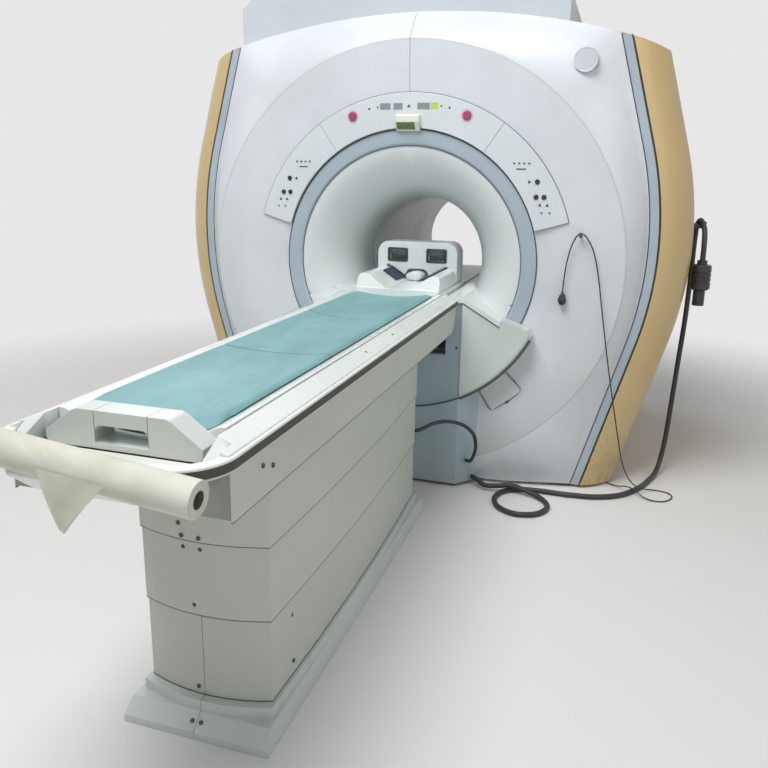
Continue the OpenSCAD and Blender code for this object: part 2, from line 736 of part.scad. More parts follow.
module upper_shroud() color(shell_grey) from_ring() tier(ped_w, ped_head, ped_foot, tier_top, frame_lo - fit);
module middle_shroud() color(shell_grey) from_ring() {
  spots = [[-44, tier_top - 20], [7, tier_top - 20], [-18, tier_mid + 30]];
  difference() {
    tier(ped_w2, ped_head + sheet + shroud_gap, ped_foot2, tier_mid, tier_top + tier_lap);
    for (p = spots) on_foot(p[0], p[1], ped_foot2, -20) cylinder(r = hole_r, h = 25, $fn = fine);
  }
  for (p = spots) on_foot(p[0], p[1], ped_foot2, flush) screw();
}
module lower_shroud() color(shell_grey) from_ring() difference() {
  tier(ped_w3, ped_head + 2 * (sheet + shroud_gap), ped_foot3, plinth_h - 30, tier_mid + tier_lap);
  translate([-0.75, -ped_foot - 10, 0]) cube([1.5, 400, 1000]);
  translate([-0.75, -ped_head - 60, 0]) cube([1.5, 400, 1000]);
  translate([ped_w3 - 40, side_screw_y, side_screw_z]) rotate([0, 90, 0]) cylinder(r = hole_r, h = 60, $fn = fine);
}

// Floor plinth in two halves that meet on the centre line: a collar round the shroud and a sloping skirt.
module table_plinth() color(shell_grey) from_ring() difference() {
  union() {
    linear_extrude(plinth_h) ped_plan(ped_w + 4, ped_head - 34, ped_foot + collar_out - 2);
    intersection() {
      slab(-3000, 0) polygon(both([[plinth_w, 0], [plinth_w, skirt_lo], [ped_w + 3, skirt_hi]]));
      side_slab(-400, 400) polygon([[-ped_foot - skirt_out, 0], [-ped_foot - skirt_out, skirt_lo],
        [-ped_foot - collar_out, skirt_hi], [32 - ped_head, skirt_hi], [50 - ped_head, skirt_lo],
        [50 - ped_head, 0]]);
    }
  }
  translate([0, 0, -1]) linear_extrude(plinth_h + 2)
    ped_plan(ped_w3 + fit, ped_head + 2 * (sheet + shroud_gap) - fit, ped_foot3 + fit);
  translate([-0.75, -ped_foot - 200, -1]) cube([1.5, 3000, 1000]);
}

// Lift: fixed base with its two outer masts, and the inner masts that carry the table top.
base_t = 40;
mast_wall = 5;
mast_y = [420 - ped_foot, -ped_head - 420];
module lift_base() color(steel) from_ring() {
  w = ped_w3 - sheet - 22;
  translate([-w, 120 - ped_foot, 0]) cube([2 * w, ped_foot - ped_head - 200, base_t]);
  for (y = mast_y) translate([0, y, base_t - 1]) difference() {
    translate([-mast_w - mast_wall - fit, -mast_w - mast_wall - fit, 0])
      cube([2 * (mast_w + mast_wall + fit), 2 * (mast_w + mast_wall + fit), 440]);
    translate([-mast_w - fit, -mast_w - fit, 20]) cube([2 * (mast_w + fit), 2 * (mast_w + fit), 500]);
  }
}

module lift_mast() color("#c5c9cc") from_ring() {
  z0 = base_t + 40 + lift_travel;
  for (y = mast_y) translate([-mast_w, y - mast_w, z0]) difference() {
    cube([2 * mast_w, 2 * mast_w, frame_lo - fit - z0]);
    translate([8, 8, -1]) cube([2 * mast_w - 16, 2 * mast_w - 16, 200]);
  }
}

// Fixed riser behind the pedestal that the feed hose comes out of.
module cable_riser() color(dark) from_ring() difference() {
  union() {
    translate([90, 6 - ped_head, plinth_h + fit]) cube([60, 27, 305]);
    translate([149, 20 - ped_head, plinth_h + 290]) rotate([0, 90, 0]) cylinder(r = 13, h = 11, $fn = fine);
  }
  translate([hose_start - 1, 20 - ped_head, plinth_h + 290]) rotate([0, 90, 0])
    cylinder(r = hose_r + 1, h = 30, $fn = fine);
}
hose_start = 140;

// Plan of the table top with round foot corners.
module top_plan(w) {
  r = w - top_w + corner_r;
  translate([-w, foot_y + corner_r]) square([2 * w, top_len - corner_r]);
  translate([r - w, foot_y + corner_r - r]) square([2 * (w - r), top_len]);
  mirrored() translate([w - r, foot_y + corner_r]) circle(r, $fn = fine);
}

// Side profile of the table top with its round nose at the head end.
module top_side(lo) {
  translate([foot_y - 40, lo]) square([top_len + 40 - nose_r, top_h + 60]);
  translate([foot_y, lo + nose_r]) square([top_len, top_h + 60]);
  translate([head_y - nose_r, lo + nose_r]) circle(nose_r, $fn = fine);
}

bumper_in = 24;
cap_in = cradle_w - 15;
rail_foot = 100;
apron_y = foot_y + 123;
slot_y = foot_y + 235;
tunnel_lo = frame_lo + 8;
tunnel_hi = deck_z - 8;
module rail_section(w) polygon(both([[w, frame_lo], [w, bumper_top + 2], [rail_in, top_z - 2],
  [rail_in, deck_z], [150, deck_z], [150, cradle_lo - fit], [120, cradle_lo - fit], [120, deck_z]]));

module table_frame() color("#dfe2dc") from_ring() difference() {
  intersection() {
    slab(foot_y + rail_foot, head_y) difference() {
      rail_section(top_w - skin - fit);
      translate([-190, tunnel_lo]) square([380, tunnel_hi - tunnel_lo]);
    }
    linear_extrude(2000) top_plan(top_w - skin - fit);
    side_slab(-400, 400) top_side(frame_lo);
  }
  translate([-cap_in, foot_y - 1, 0]) cube([2 * cap_in, 1 + apron_y - foot_y, 2000]);
  translate([-12, slot_y, deck_z - 20]) cube([24, cradle_travel + 85, 60]);
  mirrored() translate([cap_in - 1, foot_y, top_z - 60]) cube([top_w - bumper_in - cap_in + 1, cap_y - foot_y, 100]);
}

// Outer side skins of the table top.
module rail_panels() color(shell_grey) from_ring() intersection() {
  translate([0, 0, top_lo]) linear_extrude(bumper_top - bumper_h - top_lo - fit) difference() {
    top_plan(top_w);
    top_plan(top_w - skin);
    translate([-500, foot_y - 50]) square([1000, 50 + rail_foot]);
    translate([-200, foot_y - 50]) square([400, 5000]);
  }
  side_slab(-400, 400) top_side(top_lo);
}

// Rubber side bumpers that run round the foot corners.
module bumpers() color(rubber) from_ring() translate([0, 0, bumper_top - bumper_h]) mirrored() {
  linear_extrude(bumper_h) difference() {
    top_plan(top_w + bumper_t);
    top_plan(top_w - skin);
    translate([-500, foot_y - 50]) square([660, 5000]);
    translate([-500, head_y]) square([1000, 300]);
  }
  linear_extrude(bumper_h) difference() {
    top_plan(top_w);
    top_plan(top_w - bumper_in);
    translate([-500, foot_y + rail_foot - fit]) square([1000, 5000]);
    translate([-500, foot_y - 50]) square([660, 5000]);
  }
  translate([160, foot_y + (bumper_in - bumper_t) / 2, 0]) cylinder(r = (bumper_in + bumper_t) / 2, h = bumper_h, $fn = fine);
}

// Faceted end caps of the two rails with a small three-sided recess.
module rail_caps() color("#c9cec6") from_ring() mirrored() difference() {
  intersection() {
    side_slab(cap_in + fit, top_w - bumper_in - fit) polygon([
      [cap_y - fit, top_z - 3], [cap_y - fit, top_z - 60 + fit], [foot_y + 55, top_z - 60 + fit],
      [foot_y + 55, top_z - 50]
    ]);
    slab(foot_y, cap_y) rail_section(top_w - skin - fit - 0.1);
    linear_extrude(2000) top_plan(top_w - bumper_in - fit);
  }
  translate([cap_in + 20, cap_y - 66, top_z - 34]) linear_extrude(60) polygon([[0, 0], [20, 12], [20, -12]]);
}

// White curved apron at the foot, above the paper roll.
module foot_apron() color(cream) from_ring() side_slab(fit - cap_in, cap_in - fit) polygon([
  [apron_y - fit, frame_lo], [foot_y + 100, frame_lo], [foot_y + 75, frame_lo + 15],
  [foot_y + 6, top_z - 92], [foot_y + 4, top_z - 84], [foot_y + 14, top_z - 70],
  [foot_y + 44, top_z - 61], [foot_y + 85, top_z - 61], [apron_y - fit, top_z - 61]
]);

// Toothed belt loop under the deck with its two pulleys and motor.
module drive_belt() color(dark) from_ring() {
  y0 = foot_y + 230;
  y1 = head_y - 170;
  zc = (tunnel_lo + tunnel_hi) / 2;
  side_slab(-10, 10) difference() {
    union() {
      translate([y0, zc - 26]) square([y1 - y0, 52]);
      for (y = [y0, y1]) translate([y, zc]) circle(26, $fn = fine);
    }
    translate([y0, zc - 24]) square([y1 - y0, 48]);
    for (y = [y0, y1]) translate([y, zc]) circle(24, $fn = fine);
  }
  for (y = [y0, y1]) translate([-14, y, zc]) rotate([0, 90, 0]) cylinder(r = 24 - fit, h = 28, $fn = fine);
  translate([14 + fit, y0, zc]) rotate([0, 90, 0]) cylinder(r = 25, h = 120, $fn = fine);
  for (y = [y0, y1]) translate([-14 - 40, y - 12, tunnel_lo + fit]) cube([40 - fit, 24, tunnel_hi - tunnel_lo - 2 * fit]);
}

// Place and turn of the roll's left end, with the axis along Z.
module on_roll() translate([0, roll_y, roll_z]) rotate([0, 90 + roll_tilt, 0])
  translate([0, 0, -roll_len / 2]) children();

// Holder of the paper roll: an arm from the left rail and a spindle with two collars.
module roll_holder() color(steel) from_ring() {
  root = [foot_y + 150, top_z - 100];
  side_slab(arm_x, arm_x + arm_t) {
    hull() {
      translate([roll_y, axis_z(arm_x)]) circle(18, $fn = 32);
      translate(root) circle(20, $fn = 32);
    }
  }
  translate([arm_x + arm_t, root[0], root[1]]) rotate([0, 90, 0])
    cylinder(r = 14, h = -arm_x - arm_t - top_w - fit, $fn = fine);
  on_roll() {
    translate([0, 0, -9]) cylinder(r = spindle_r, h = roll_len - 20, $fn = fine);
    for (x = [12, roll_len - 50]) translate([0, 0, x]) cylinder(r = core_r - fit, h = 18, $fn = fine);
  }
}

module paper_roll() color("#f1efe6") from_ring() on_roll() difference() {
  cylinder(r = roll_r, h = roll_len, $fn = fine);
  translate([0, 0, -1]) cylinder(r = core_r, h = roll_len + 2, $fn = fine);
}

// Paper tail that hangs from the far side of the roll to a point, held by the roll's holder.
module paper_tail() color("#f1efe6") from_ring() translate([0, roll_y - roll_r - 1.3, 0]) slab(0, 1)
  polygon([[-22, axis_z(-22)], [130, axis_z(130)], [36, roll_z - 124], [8, roll_z - 118], [3, roll_z - 64]]);

// Cradle: a dished board with flat rims, and the driving dog below it.
module cradle() color(white) from_ring() {
  slab(cradle_foot, cradle_head) difference() {
    polygon(both([[cradle_w - 27, cradle_lo], [cradle_w, cradle_lo + 32], [cradle_w, top_z]]));
    translate([0, pad_lo + dish_arc]) circle(dish_arc, $fn = 720);
  }
  translate([-8, foot_y + 250, deck_z - 12]) cube([16, 60, cradle_lo - deck_z + 13]);
}

module cradle_handle() color(cream) from_ring() slab(handle_y, cradle_foot - fit) difference() {
  polygon(both([[188, top_z - 60], [197, top_z - 50], [197, top_z - 30], [125, top_z + 22],
    [112, top_z + 27]]));
  translate([0, top_z - 46]) round_top(66, 40, 14);
}

module pad() color(teal) from_ring() slab(cradle_foot + 4, pad_head) difference() {
  intersection() {
    translate([0, pad_lo + dish_arc]) circle(dish_arc - fit, $fn = 720);
    translate([-pad_half, 0]) square([2 * pad_half, top_z + 10]);
  }
  translate([0, pad_lo + pad_t + pad_arc]) circle(pad_arc, $fn = 720);
}

// Tray of the head coil, shaped to the dish of the cradle, with two shoulder pods.
module coil_tray() color(white) from_ring() {
  slab(tray_y, cradle_head - 5) intersection() {
    translate([0, pad_lo + dish_arc]) circle(dish_arc - fit, $fn = 720);
    translate([-dish_half + 1, 0]) square([2 * dish_half - 2, tray_z]);
  }
  mirrored() intersection() {
    slab(tray_y + 5, coil_y - fit) translate([0, tray_z]) polygon([
      [pod_in, 0], [pod_in + 88, 57], [158, pod_h], [180, pod_h], [193, 54], [dish_half - 1, 40], [dish_half - 1, 0]
    ]);
    side_slab(0, cradle_w) polygon([[tray_y + 5, tray_z - 1], [tray_y + 32, tray_z + pod_h + 8],
      [coil_y, tray_z + pod_h + 8], [coil_y, tray_z - 1]]);
  }
}

// Shell of the head coil: a hollow for the head behind a face with two windows and a V-shaped neck cut-out.
module head_coil() color(white) from_ring() translate([0, coil_y, tray_z]) difference() {
  slab(fit, coil_len) round_top(coil_w, coil_h, 56);
  slab(coil_wall, coil_len + 1) translate([0, -1]) round_top(coil_w - coil_wall, coil_h - coil_wall + 1, 46);
  slab(-1, coil_wall + 1) {
    polygon(both([[158, -1], [158, pod_h + 10], [143, pod_h + 10], [62, 21], [50, 46], [34, 54]]));
    mirrored() translate([53, 94]) square([94, 58]);
  }
}

// Two pads along the slopes of the pods and a neck roll between them.
module coil_cushion() color("#3f4a60") from_ring() translate([0, 0, tray_z]) {
  mirrored() slab(tray_y + 45, coil_y + 90)
    polygon([on_pod(12, fit), on_pod(98, fit), on_pod(98, fit + pad_strip), on_pod(12, fit + pad_strip)]);
  slab(coil_y - 60, coil_y + 60) translate([0, fit]) round_top(46, 44, 20);
}

// Round cord swept along its route, one ring at each step of a smooth curve through the points.
function curve_at(p, i, t) =
  let (a = p[max(i - 1, 0)], b = p[i], c = p[i + 1], d = p[min(i + 2, len(p) - 1)])
  0.5 * ((2 * b) + (c - a) * t + (2 * a - 5 * b + 4 * c - d) * t * t
    + (3 * b - a - 3 * c + d) * t * t * t);
function smooth(p, n) =
  concat([for (i = [0 : len(p) - 2], k = [0 : n - 1]) curve_at(p, i, k / n)], [p[len(p) - 1]]);
function unit(v) = v / norm(v);
function heading(q, i) = unit(q[min(i + 1, len(q) - 1)] - q[max(i - 1, 0)]);
function first_normal(h) = unit(cross(h, abs(h[2]) < 0.9 ? [0, 0, 1] : [1, 0, 0]));
function carried(n, h) = unit(n - h * (n * h));
function normals(q, i = 0, acc = []) =
  i == len(q) ? acc
  : let (n = carried(i == 0 ? first_normal(heading(q, 0)) : acc[i - 1], heading(q, i)))
    normals(q, i + 1, concat(acc, [n]));
module cord(route, r, n, sides) {
  q = smooth(route, n);
  nn = normals(q);
  rings = len(q);
  points = [for (i = [0 : rings - 1], k = [0 : sides - 1])
    let (h = heading(q, i), u = nn[i], v = cross(h, u), a = 360 * k / sides)
    q[i] + r * (cos(a) * u + sin(a) * v)];
  sides_f = [for (i = [0 : rings - 2], k = [0 : sides - 1])
    let (k2 = (k + 1) % sides)
    [i * sides + k, i * sides + k2, (i + 1) * sides + k2, (i + 1) * sides + k]];
  caps = [[for (k = [sides - 1 : -1 : 0]) k], [for (k = [0 : sides - 1]) (rings - 1) * sides + k]];
  polyhedron(points, concat(sides_f, caps));
}

// Call cord: up from the bulb, over its hook, down to the floor and under the side cover.
call_r = 3;
bulb_at = [738, -24, 974];
call_route = [
  bulb_at, [740, -24, 1030], [748, -26, 1110], [765, -30, 1185], [785, -32, 1226], [801, -32, 1234],
  [820, -32, 1226], [845, -32, 1190], [866, -34, 1140], [890, -36, 1040], [919, -44, 880],
  [957, -60, 680], [990, -66, 520], [1024, -60, 360], [1060, -30, 200], [1105, 40, 90],
  [1160, 130, 25], [1225, 180, 4], [1285, 165, 4], [1300, 115, 4], [1265, 60, 4], [1215, 48, 4],
  [1170, 62, 10], [1138, 84, 24], [1110, 108, 30], [1082, 132, 24], [1050, 158, 10], [1000, 195, 4]
];
module call_cord() color(dark) from_ring() cord(call_route, call_r, 3, 8);

// Squeeze bulb of the call cord.
module call_bulb() color("#1d1f22") from_ring() translate(bulb_at) mirror([0, 0, 1])
  rotate_extrude($fn = fine) polygon(concat([[0, fit], [5, fit], [6, 8], [13, 14]],
    [for (a = [-40 : 20 : 80]) [19 * cos(a), 38 + 22 * sin(a)]], [[0, 62]]));

// Coil cable: from the hung plug over the peg, down the side, along the base with one floor loop.
cable_r = 12;
plug_at = [1334, 300, 1112];
cable_route = [
  plug_at, [1334, 304, 1170], [1332, 325, 1240], [1322, 360, 1278], [1314, 400, 1287],
  [1306, 440, 1262], [1304, 462, 1190], [1304, 468, 1000], [1300, 468, 800], [1290, 468, 600],
  [1280, 465, 400], [1270, 455, 220], [1256, 430, 100], [1235, 380, 30], [1200, 285, 13],
  [1150, 165, 13], [1070, 50, 13], [960, -15, 13], [830, -35, 13], [700, -35, 13], [600, -50, 13],
  [530, -100, 13], [505, -190, 13], [540, -280, 13], [625, -325, 13], [715, -290, 13],
  [750, -205, 13], [715, -125, 13], [640, -90, 26], [570, -82, 41], [500, -84, 30], [440, -86, 26],
  [396, -58, 38], [366.2, -32.1, 40]
];
module coil_cable() color(dark) from_ring() cord(cable_route, cable_r, 2, 10);

module cable_plug() color("#1d1f22") from_ring() translate([plug_at[0], plug_at[1], plug_at[2] - fit]) {
  mirror([0, 0, 1]) {
    cylinder(r = 22, h = 20, $fn = fine);
    translate([0, 0, 15]) cylinder(r = 44, h = 120, $fn = fine);
    translate([0, 0, 130]) cylinder(r = 26, h = 80, $fn = fine);
  }
}

// Feed hose from the riser behind the pedestal to the gland on the side of the dock column.
hose_r = 8.5;
hose_route = [
  [hose_start, -420, 380], [166, -420, 380], [200, -410, 387], [250, -350, 404], [300, -270, 390],
  [350, -190, 350], [384, -130, 290], [392, -108, 220], [378, -98, 165], [361, -84, 138], [338.2, -64.1, 132]
];
module feed_hose() color("#1d1f22") from_ring() cord(hose_route, hose_r, 4, 10);

module front_cover_left() front_cover(-1);
module front_cover_right() front_cover(1);
module side_cover_left() side_cover(-1);
module side_cover_right() side_cover(1);

front_cover_left();
front_cover_right();
trim_bands();
side_cover_left();
side_cover_right();
roof_hood();
rear_cover();
bore_ring();
bell_mouth();
bore_liner();
body_coil();
gradient_coil();
cryostat();
cold_head();
base_frame();
control_panels();
aperture_box();
stop_left();
stop_right();
key_left_top();
key_left_inner();
key_left_outer();
key_right_top();
key_right_inner();
key_right_outer();
dock_chin();
dock_front();
mouth_floor();
dock_hatch();
bore_bridge();
cord_hooks();
fixed_screws();
table_plinth();
lift_base();
lift_mast();
cable_riser();
lower_shroud();
middle_shroud();
upper_shroud();
top_screws();
table_frame();
rail_panels();
bumpers();
rail_caps();
foot_apron();
drive_belt();
roll_holder();
cradle();
cradle_handle();
pad();
coil_tray();
head_coil();
coil_cushion();
paper_roll();
paper_tail();
call_cord();
call_bulb();
coil_cable();
cable_plug();
feed_hose();
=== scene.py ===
"""Looks of a whole-body MRI scanner: covers, bore, controls, dock, patient table, head coil and cords."""

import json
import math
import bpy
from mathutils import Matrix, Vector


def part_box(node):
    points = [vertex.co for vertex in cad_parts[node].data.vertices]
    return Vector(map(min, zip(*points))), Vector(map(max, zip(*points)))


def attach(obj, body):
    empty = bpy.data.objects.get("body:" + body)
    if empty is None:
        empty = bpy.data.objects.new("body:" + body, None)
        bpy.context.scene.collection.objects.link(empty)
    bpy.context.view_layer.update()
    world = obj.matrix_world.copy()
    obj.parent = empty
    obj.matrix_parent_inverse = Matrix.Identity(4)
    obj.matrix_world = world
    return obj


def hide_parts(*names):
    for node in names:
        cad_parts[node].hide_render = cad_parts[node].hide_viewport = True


bl_info = {
    "name": "MRI Scanner Looks",
    "version": (1, 0, 0),
    "blender": (4, 5, 0),
    "location": "3D View > Sidebar > MRI Scanner",
    "description": "Models and paints the visible pieces of an MRI scanner around its CAD frame",
    "category": "Object",
}

import bmesh
import bpy
from bpy.props import FloatProperty, FloatVectorProperty, PointerProperty
from mathutils import Matrix, Vector

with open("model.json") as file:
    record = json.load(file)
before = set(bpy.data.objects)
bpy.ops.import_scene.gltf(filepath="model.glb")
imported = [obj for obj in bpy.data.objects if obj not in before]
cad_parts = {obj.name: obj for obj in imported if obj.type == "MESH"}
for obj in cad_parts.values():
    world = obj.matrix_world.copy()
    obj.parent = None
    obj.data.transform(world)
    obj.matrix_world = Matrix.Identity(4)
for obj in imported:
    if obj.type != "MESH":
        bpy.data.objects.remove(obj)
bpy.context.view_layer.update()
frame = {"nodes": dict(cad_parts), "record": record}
BODY_OF = {node: body for body, members in frame["record"]["behaviour"]["bodies"].items() for node in members}
SLOT_OF = {part["node"]: part["material_slot"] for part in frame["record"]["subparts"]}

# Depth of the front ring's face and height of the bore's axis in metres, and the millimetre in which the
# outlines and routes are given.
FRONT, ISO_Z, MM = -0.86, 1.067, 0.001


def at_ring(x, y, z):
    """A point given in millimetres with its depth measured from the front ring."""
    return Vector((x * MM, FRONT + y * MM, z * MM))


def round_bore(radius, y, angle, side=1):
    """A point on a circle round the bore's axis; the angle counts up from the level at the right."""
    return at_ring(side * radius * math.cos(angle), y, ISO_Z / MM + radius * math.sin(angle))


def shade(colour, factor, lift=0.0):
    """A darker or brighter version of a colour."""
    return tuple(min(1.0, c * factor + lift) for c in colour)


class Value:
    """A socket of a node tree, with the operators that the materials use."""

    def __init__(self, nodes, socket):
        self.nodes = nodes
        self.socket = socket

    def __add__(self, other):
        return self.nodes.maths("ADD", self, other)

    def __sub__(self, other):
        return self.nodes.maths("SUBTRACT", self, other)

    def __rsub__(self, other):
        return self.nodes.maths("SUBTRACT", other, self)

    def __mul__(self, other):
        return self.nodes.maths("MULTIPLY", self, other)

    __radd__ = __add__
    __rmul__ = __mul__

    def power(self, other):
        return self.nodes.maths("POWER", self, other)

    def wave(self):
        return self.nodes.maths("SINE", self)

    def size(self):
        return self.nodes.maths("ABSOLUTE", self)

    def least(self, other):
        return self.nodes.maths("MINIMUM", self, other)

    def most(self, other):
        return self.nodes.maths("MAXIMUM", self, other)

    def step(self, low, high):
        """0 below low and 1 above high, with a smooth change between them."""
        return self.nodes.node("ShaderNodeMapRange", {"interpolation_type": "SMOOTHSTEP"},
                               {"Value": self, "From Min": low, "From Max": high})["Result"]

    def fall(self, low, high):
        """1 below low and 0 above high, with a smooth change between them."""
        return 1.0 - self.step(low, high)

    def band(self, start, full, fade, end):
        """1 from full to fade and 0 before start and after end."""
        return self.step(start, full) * self.fall(fade, end)


class Nodes:
    """A node tree that is built by expressions."""

    def __init__(self, tree):
        self.tree = tree
        self.tree.nodes.clear()

    def feed(self, socket, value):
        if isinstance(value, Value):
            self.tree.links.new(value.socket, socket)
        elif socket.type == "RGBA":
            socket.default_value = (*value, 1.0)
        else:
            socket.default_value = value

    def node(self, kind, settings=None, inputs=None):
        """Adds a node, sets it, feeds its sockets and gives its outputs by name and by number."""
        made = self.tree.nodes.new(kind)
        for key, value in (settings or {}).items():
            setattr(made, key, value)
        for key, value in (inputs or {}).items():
            self.feed(made.inputs[key], value)
        return {key: Value(self, socket) for k, socket in enumerate(made.outputs) for key in (k, socket.name)}

    def maths(self, operation, *values):
        return self.node("ShaderNodeMath", {"operation": operation}, dict(enumerate(values)))[0]

    def seen_rays(self):
        """1 for the camera's rays and for those that gloss and glass send on."""
        path = self.node("ShaderNodeLightPath")
        return path["Is Camera Ray"].most(path["Is Glossy Ray"]).most(path["Is Transmission Ray"])

    def blended(self, amount, first, second):
        """A shader between two others."""
        return self.node("ShaderNodeMixShader", None, {0: amount, 1: first, 2: second})[0]


class Paint(Nodes):
    """One material round a Principled shader, read in Object coordinates."""

    def __init__(self, name):
        self.material = bpy.data.materials.new(name)
        self.material.use_nodes = True
        super().__init__(self.material.node_tree)
        self.output = self.tree.nodes.new("ShaderNodeOutputMaterial")
        self.shader = self.tree.nodes.new("ShaderNodeBsdfPrincipled")
        self.tree.links.new(self.shader.outputs["BSDF"], self.output.inputs["Surface"])
        self.place = self.node("ShaderNodeTexCoord")["Object"]

    def axes(self, place=None):
        parts = self.node("ShaderNodeSeparateXYZ", None, {"Vector": place or self.place})
        return parts["X"], parts["Y"], parts["Z"]

    def moved(self, offset=(0, 0, 0), scale=(1, 1, 1), turn=(0, 0, 0), place=None):
        return self.node("ShaderNodeMapping", None, {
            "Vector": place or self.place, "Location": offset, "Scale": scale, "Rotation": turn})["Vector"]

    def noise(self, scale, detail=3.0, rough=0.55, warp=0.0, stretch=None, place=None):
        """Noise; a stretch below 1 draws it out along that axis."""
        if stretch:
            place = self.moved(scale=stretch, place=place)
        return self.node("ShaderNodeTexNoise", None, {
            "Vector": place or self.place, "Scale": scale, "Detail": detail, "Roughness": rough,
            "Distortion": warp})["Fac"]

    def mix(self, amount, first, second):
        """A colour between two others."""
        return self.node("ShaderNodeMix", {"data_type": "RGBA"}, {0: amount, 6: first, 7: second})[2]

    def bump(self, height, strength, depth, under=None):
        inputs = {"Height": height, "Strength": strength, "Distance": depth}
        if under is not None:
            inputs["Normal"] = under
        return self.node("ShaderNodeBump", None, inputs)["Normal"]

    def finish(self, **sockets):
        for key, value in sockets.items():
            self.feed(self.shader.inputs[key.replace("_", " ")], value)
        return self.material


def moulded(name, colour, rough=0.34, coat=0.25, peel=0.35, grime=0.12, soil=(0.42, 0.40, 0.36), tone=0.05,
            over=None):
    """Sprayed moulding: orange peel, cloudy tone, hand marks in the gloss and grey dust near the floor."""
    p = Paint(name)
    fine = p.noise(9.0, 5.0, 0.65, warp=0.4)
    smear = p.noise(5.0, 3.0, 0.5, stretch=(1.0, 1.0, 0.35))
    low = p.axes()[2].fall(0.02, 0.42) * (0.35 + 0.65 * fine.step(0.35, 0.7))
    dust = (low * grime * 2.2 + smear.step(0.58, 0.82) * grime * 0.35).least(0.6)
    cloud = p.noise(1.7, 4.0, 0.6).step(0.3, 0.7)
    toned = p.mix(cloud, shade(colour, 1.0 - tone * 2.0), shade(colour, 1.0 + tone))
    if over:
        toned = over(p, toned)
    peeled = p.bump(p.noise(420.0, 2.0, 0.5), peel * 0.35, 0.0004)
    return p.finish(
        Base_Color=p.mix(dust, toned, soil),
        Roughness=(rough + smear.step(0.45, 0.8) * 0.12 + dust * 0.4).least(0.95),
        Coat_Weight=coat, Coat_Roughness=0.12, Normal=p.bump(p.noise(14.0, 2.0, 0.5), 0.05, 0.002, peeled))


def powder(name, colour, rough=0.5, grime=0.18):
    """Textured powder paint on sheet metal with rubbed, dusty patches."""
    p = Paint(name)
    patch = p.noise(7.0, 6.0, 0.7, warp=0.6)
    streak = p.noise(18.0, 3.0, 0.6, stretch=(1.0, 1.0, 0.06))
    low = p.axes()[2].fall(0.01, 0.5)
    dust = (low * patch.step(0.3, 0.75) * grime * 2.4 + streak.step(0.6, 0.85) * grime * 0.6).least(0.6)
    toned = p.mix(p.noise(2.6, 4.0, 0.6).step(0.3, 0.72), shade(colour, 0.93), shade(colour, 1.04))
    scuff = p.noise(60.0, 6.0, 0.8, warp=1.5).step(0.70, 0.78) * low * 0.5
    return p.finish(
        Base_Color=p.mix(dust, p.mix(scuff, toned, shade(colour, 0.62)), (0.36, 0.34, 0.30)),
        Roughness=(rough + patch.step(0.4, 0.8) * 0.14).least(0.95),
        Normal=p.bump(p.noise(900.0, 3.0, 0.6), 0.22, 0.0003))


def brushed(name, colour, rough=0.32, along=(1.0, 40.0, 40.0), metal=1.0):
    """Drawn or milled metal with fine lines along one axis and dull handling patches."""
    p = Paint(name)
    lines = p.noise(30.0, 5.0, 0.7, stretch=along)
    dull = p.noise(11.0, 4.0, 0.6)
    tone = p.mix(lines.step(0.3, 0.7), shade(colour, 0.86), colour)
    return p.finish(
        Base_Color=p.mix(dull.step(0.55, 0.8) * 0.4, tone, shade(colour, 0.6)),
        Metallic=metal, Roughness=(rough + dull.step(0.4, 0.75) * 0.22).least(0.9),
        Normal=p.bump(lines, 0.12, 0.0003))


def rubbery(name, colour, rough=0.62, grain=700.0):
    """Moulded rubber: pebbled skin, pale bloom and rubbed high spots."""
    p = Paint(name)
    rub = p.noise(70.0, 4.0, 0.7)
    pale = shade(colour, 1.5, 0.03)
    toned = p.mix(p.noise(12.0, 5.0, 0.65, warp=0.5).step(0.45, 0.8) * 0.5, colour, pale)
    return p.finish(
        Base_Color=p.mix(rub.step(0.66, 0.8) * 0.25, toned, pale),
        Roughness=rough - rub.step(0.6, 0.85) * 0.16, Normal=p.bump(p.noise(grain, 3.0, 0.6), 0.25, 0.0003))


def wound(name, colour, band, pitch):
    """Epoxy-cast winding with turns that show as soft ridges along the bore."""
    p = Paint(name)
    ridge = (p.axes()[1] * (math.tau / pitch)).wave() * 0.5 + 0.5
    blotch = p.noise(8.0, 5.0, 0.6)
    return p.finish(
        Base_Color=p.mix(ridge.step(0.2, 0.8) * 0.5 + blotch.step(0.4, 0.7) * 0.3, colour, band),
        Roughness=0.42 + blotch * 0.2, Normal=p.bump(ridge + p.noise(300.0) * 0.3, 0.4, 0.001))


def nothing_selected():
    if bpy.context.object and bpy.context.object.mode != "OBJECT":
        bpy.ops.object.mode_set(mode="OBJECT")
    bpy.ops.object.select_all(action="DESELECT")


def active(obj):
    nothing_selected()
    obj.select_set(True)
    bpy.context.view_layer.objects.active = obj
    return obj


def modified(obj, kind, **settings):
    """Adds one modifier, sets it and applies it."""
    active(obj)
    made = obj.modifiers.new(kind.title(), kind)
    for key, value in settings.items():
        setattr(made, key, value)
    bpy.ops.object.modifier_apply(modifier=made.name)
    return obj


def baked_place(obj):
    active(obj)
    bpy.ops.object.transform_apply(location=True, rotation=True, scale=True)
    return obj


def smooth(obj, angle=32.0):
    active(obj)
    bpy.ops.object.shade_smooth_by_angle(angle=math.radians(angle))
    return obj


def painted(obj, material):
    obj.data.materials.clear()
    obj.data.materials.append(material)
    return obj


def seated(obj, body, slot, *replaced):
    """Puts a finished piece on its body and hides the CAD nodes it stands for."""
    baked_place(obj)
    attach(obj, body)
    if replaced:
        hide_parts(*replaced)
    return obj


def primitive(name, kind, place, **settings):
    nothing_selected()
    getattr(bpy.ops.mesh, f"primitive_{kind}_add")(location=place, **settings)
    obj = bpy.context.object
    obj.name = name
    obj.data.name = name
    return obj


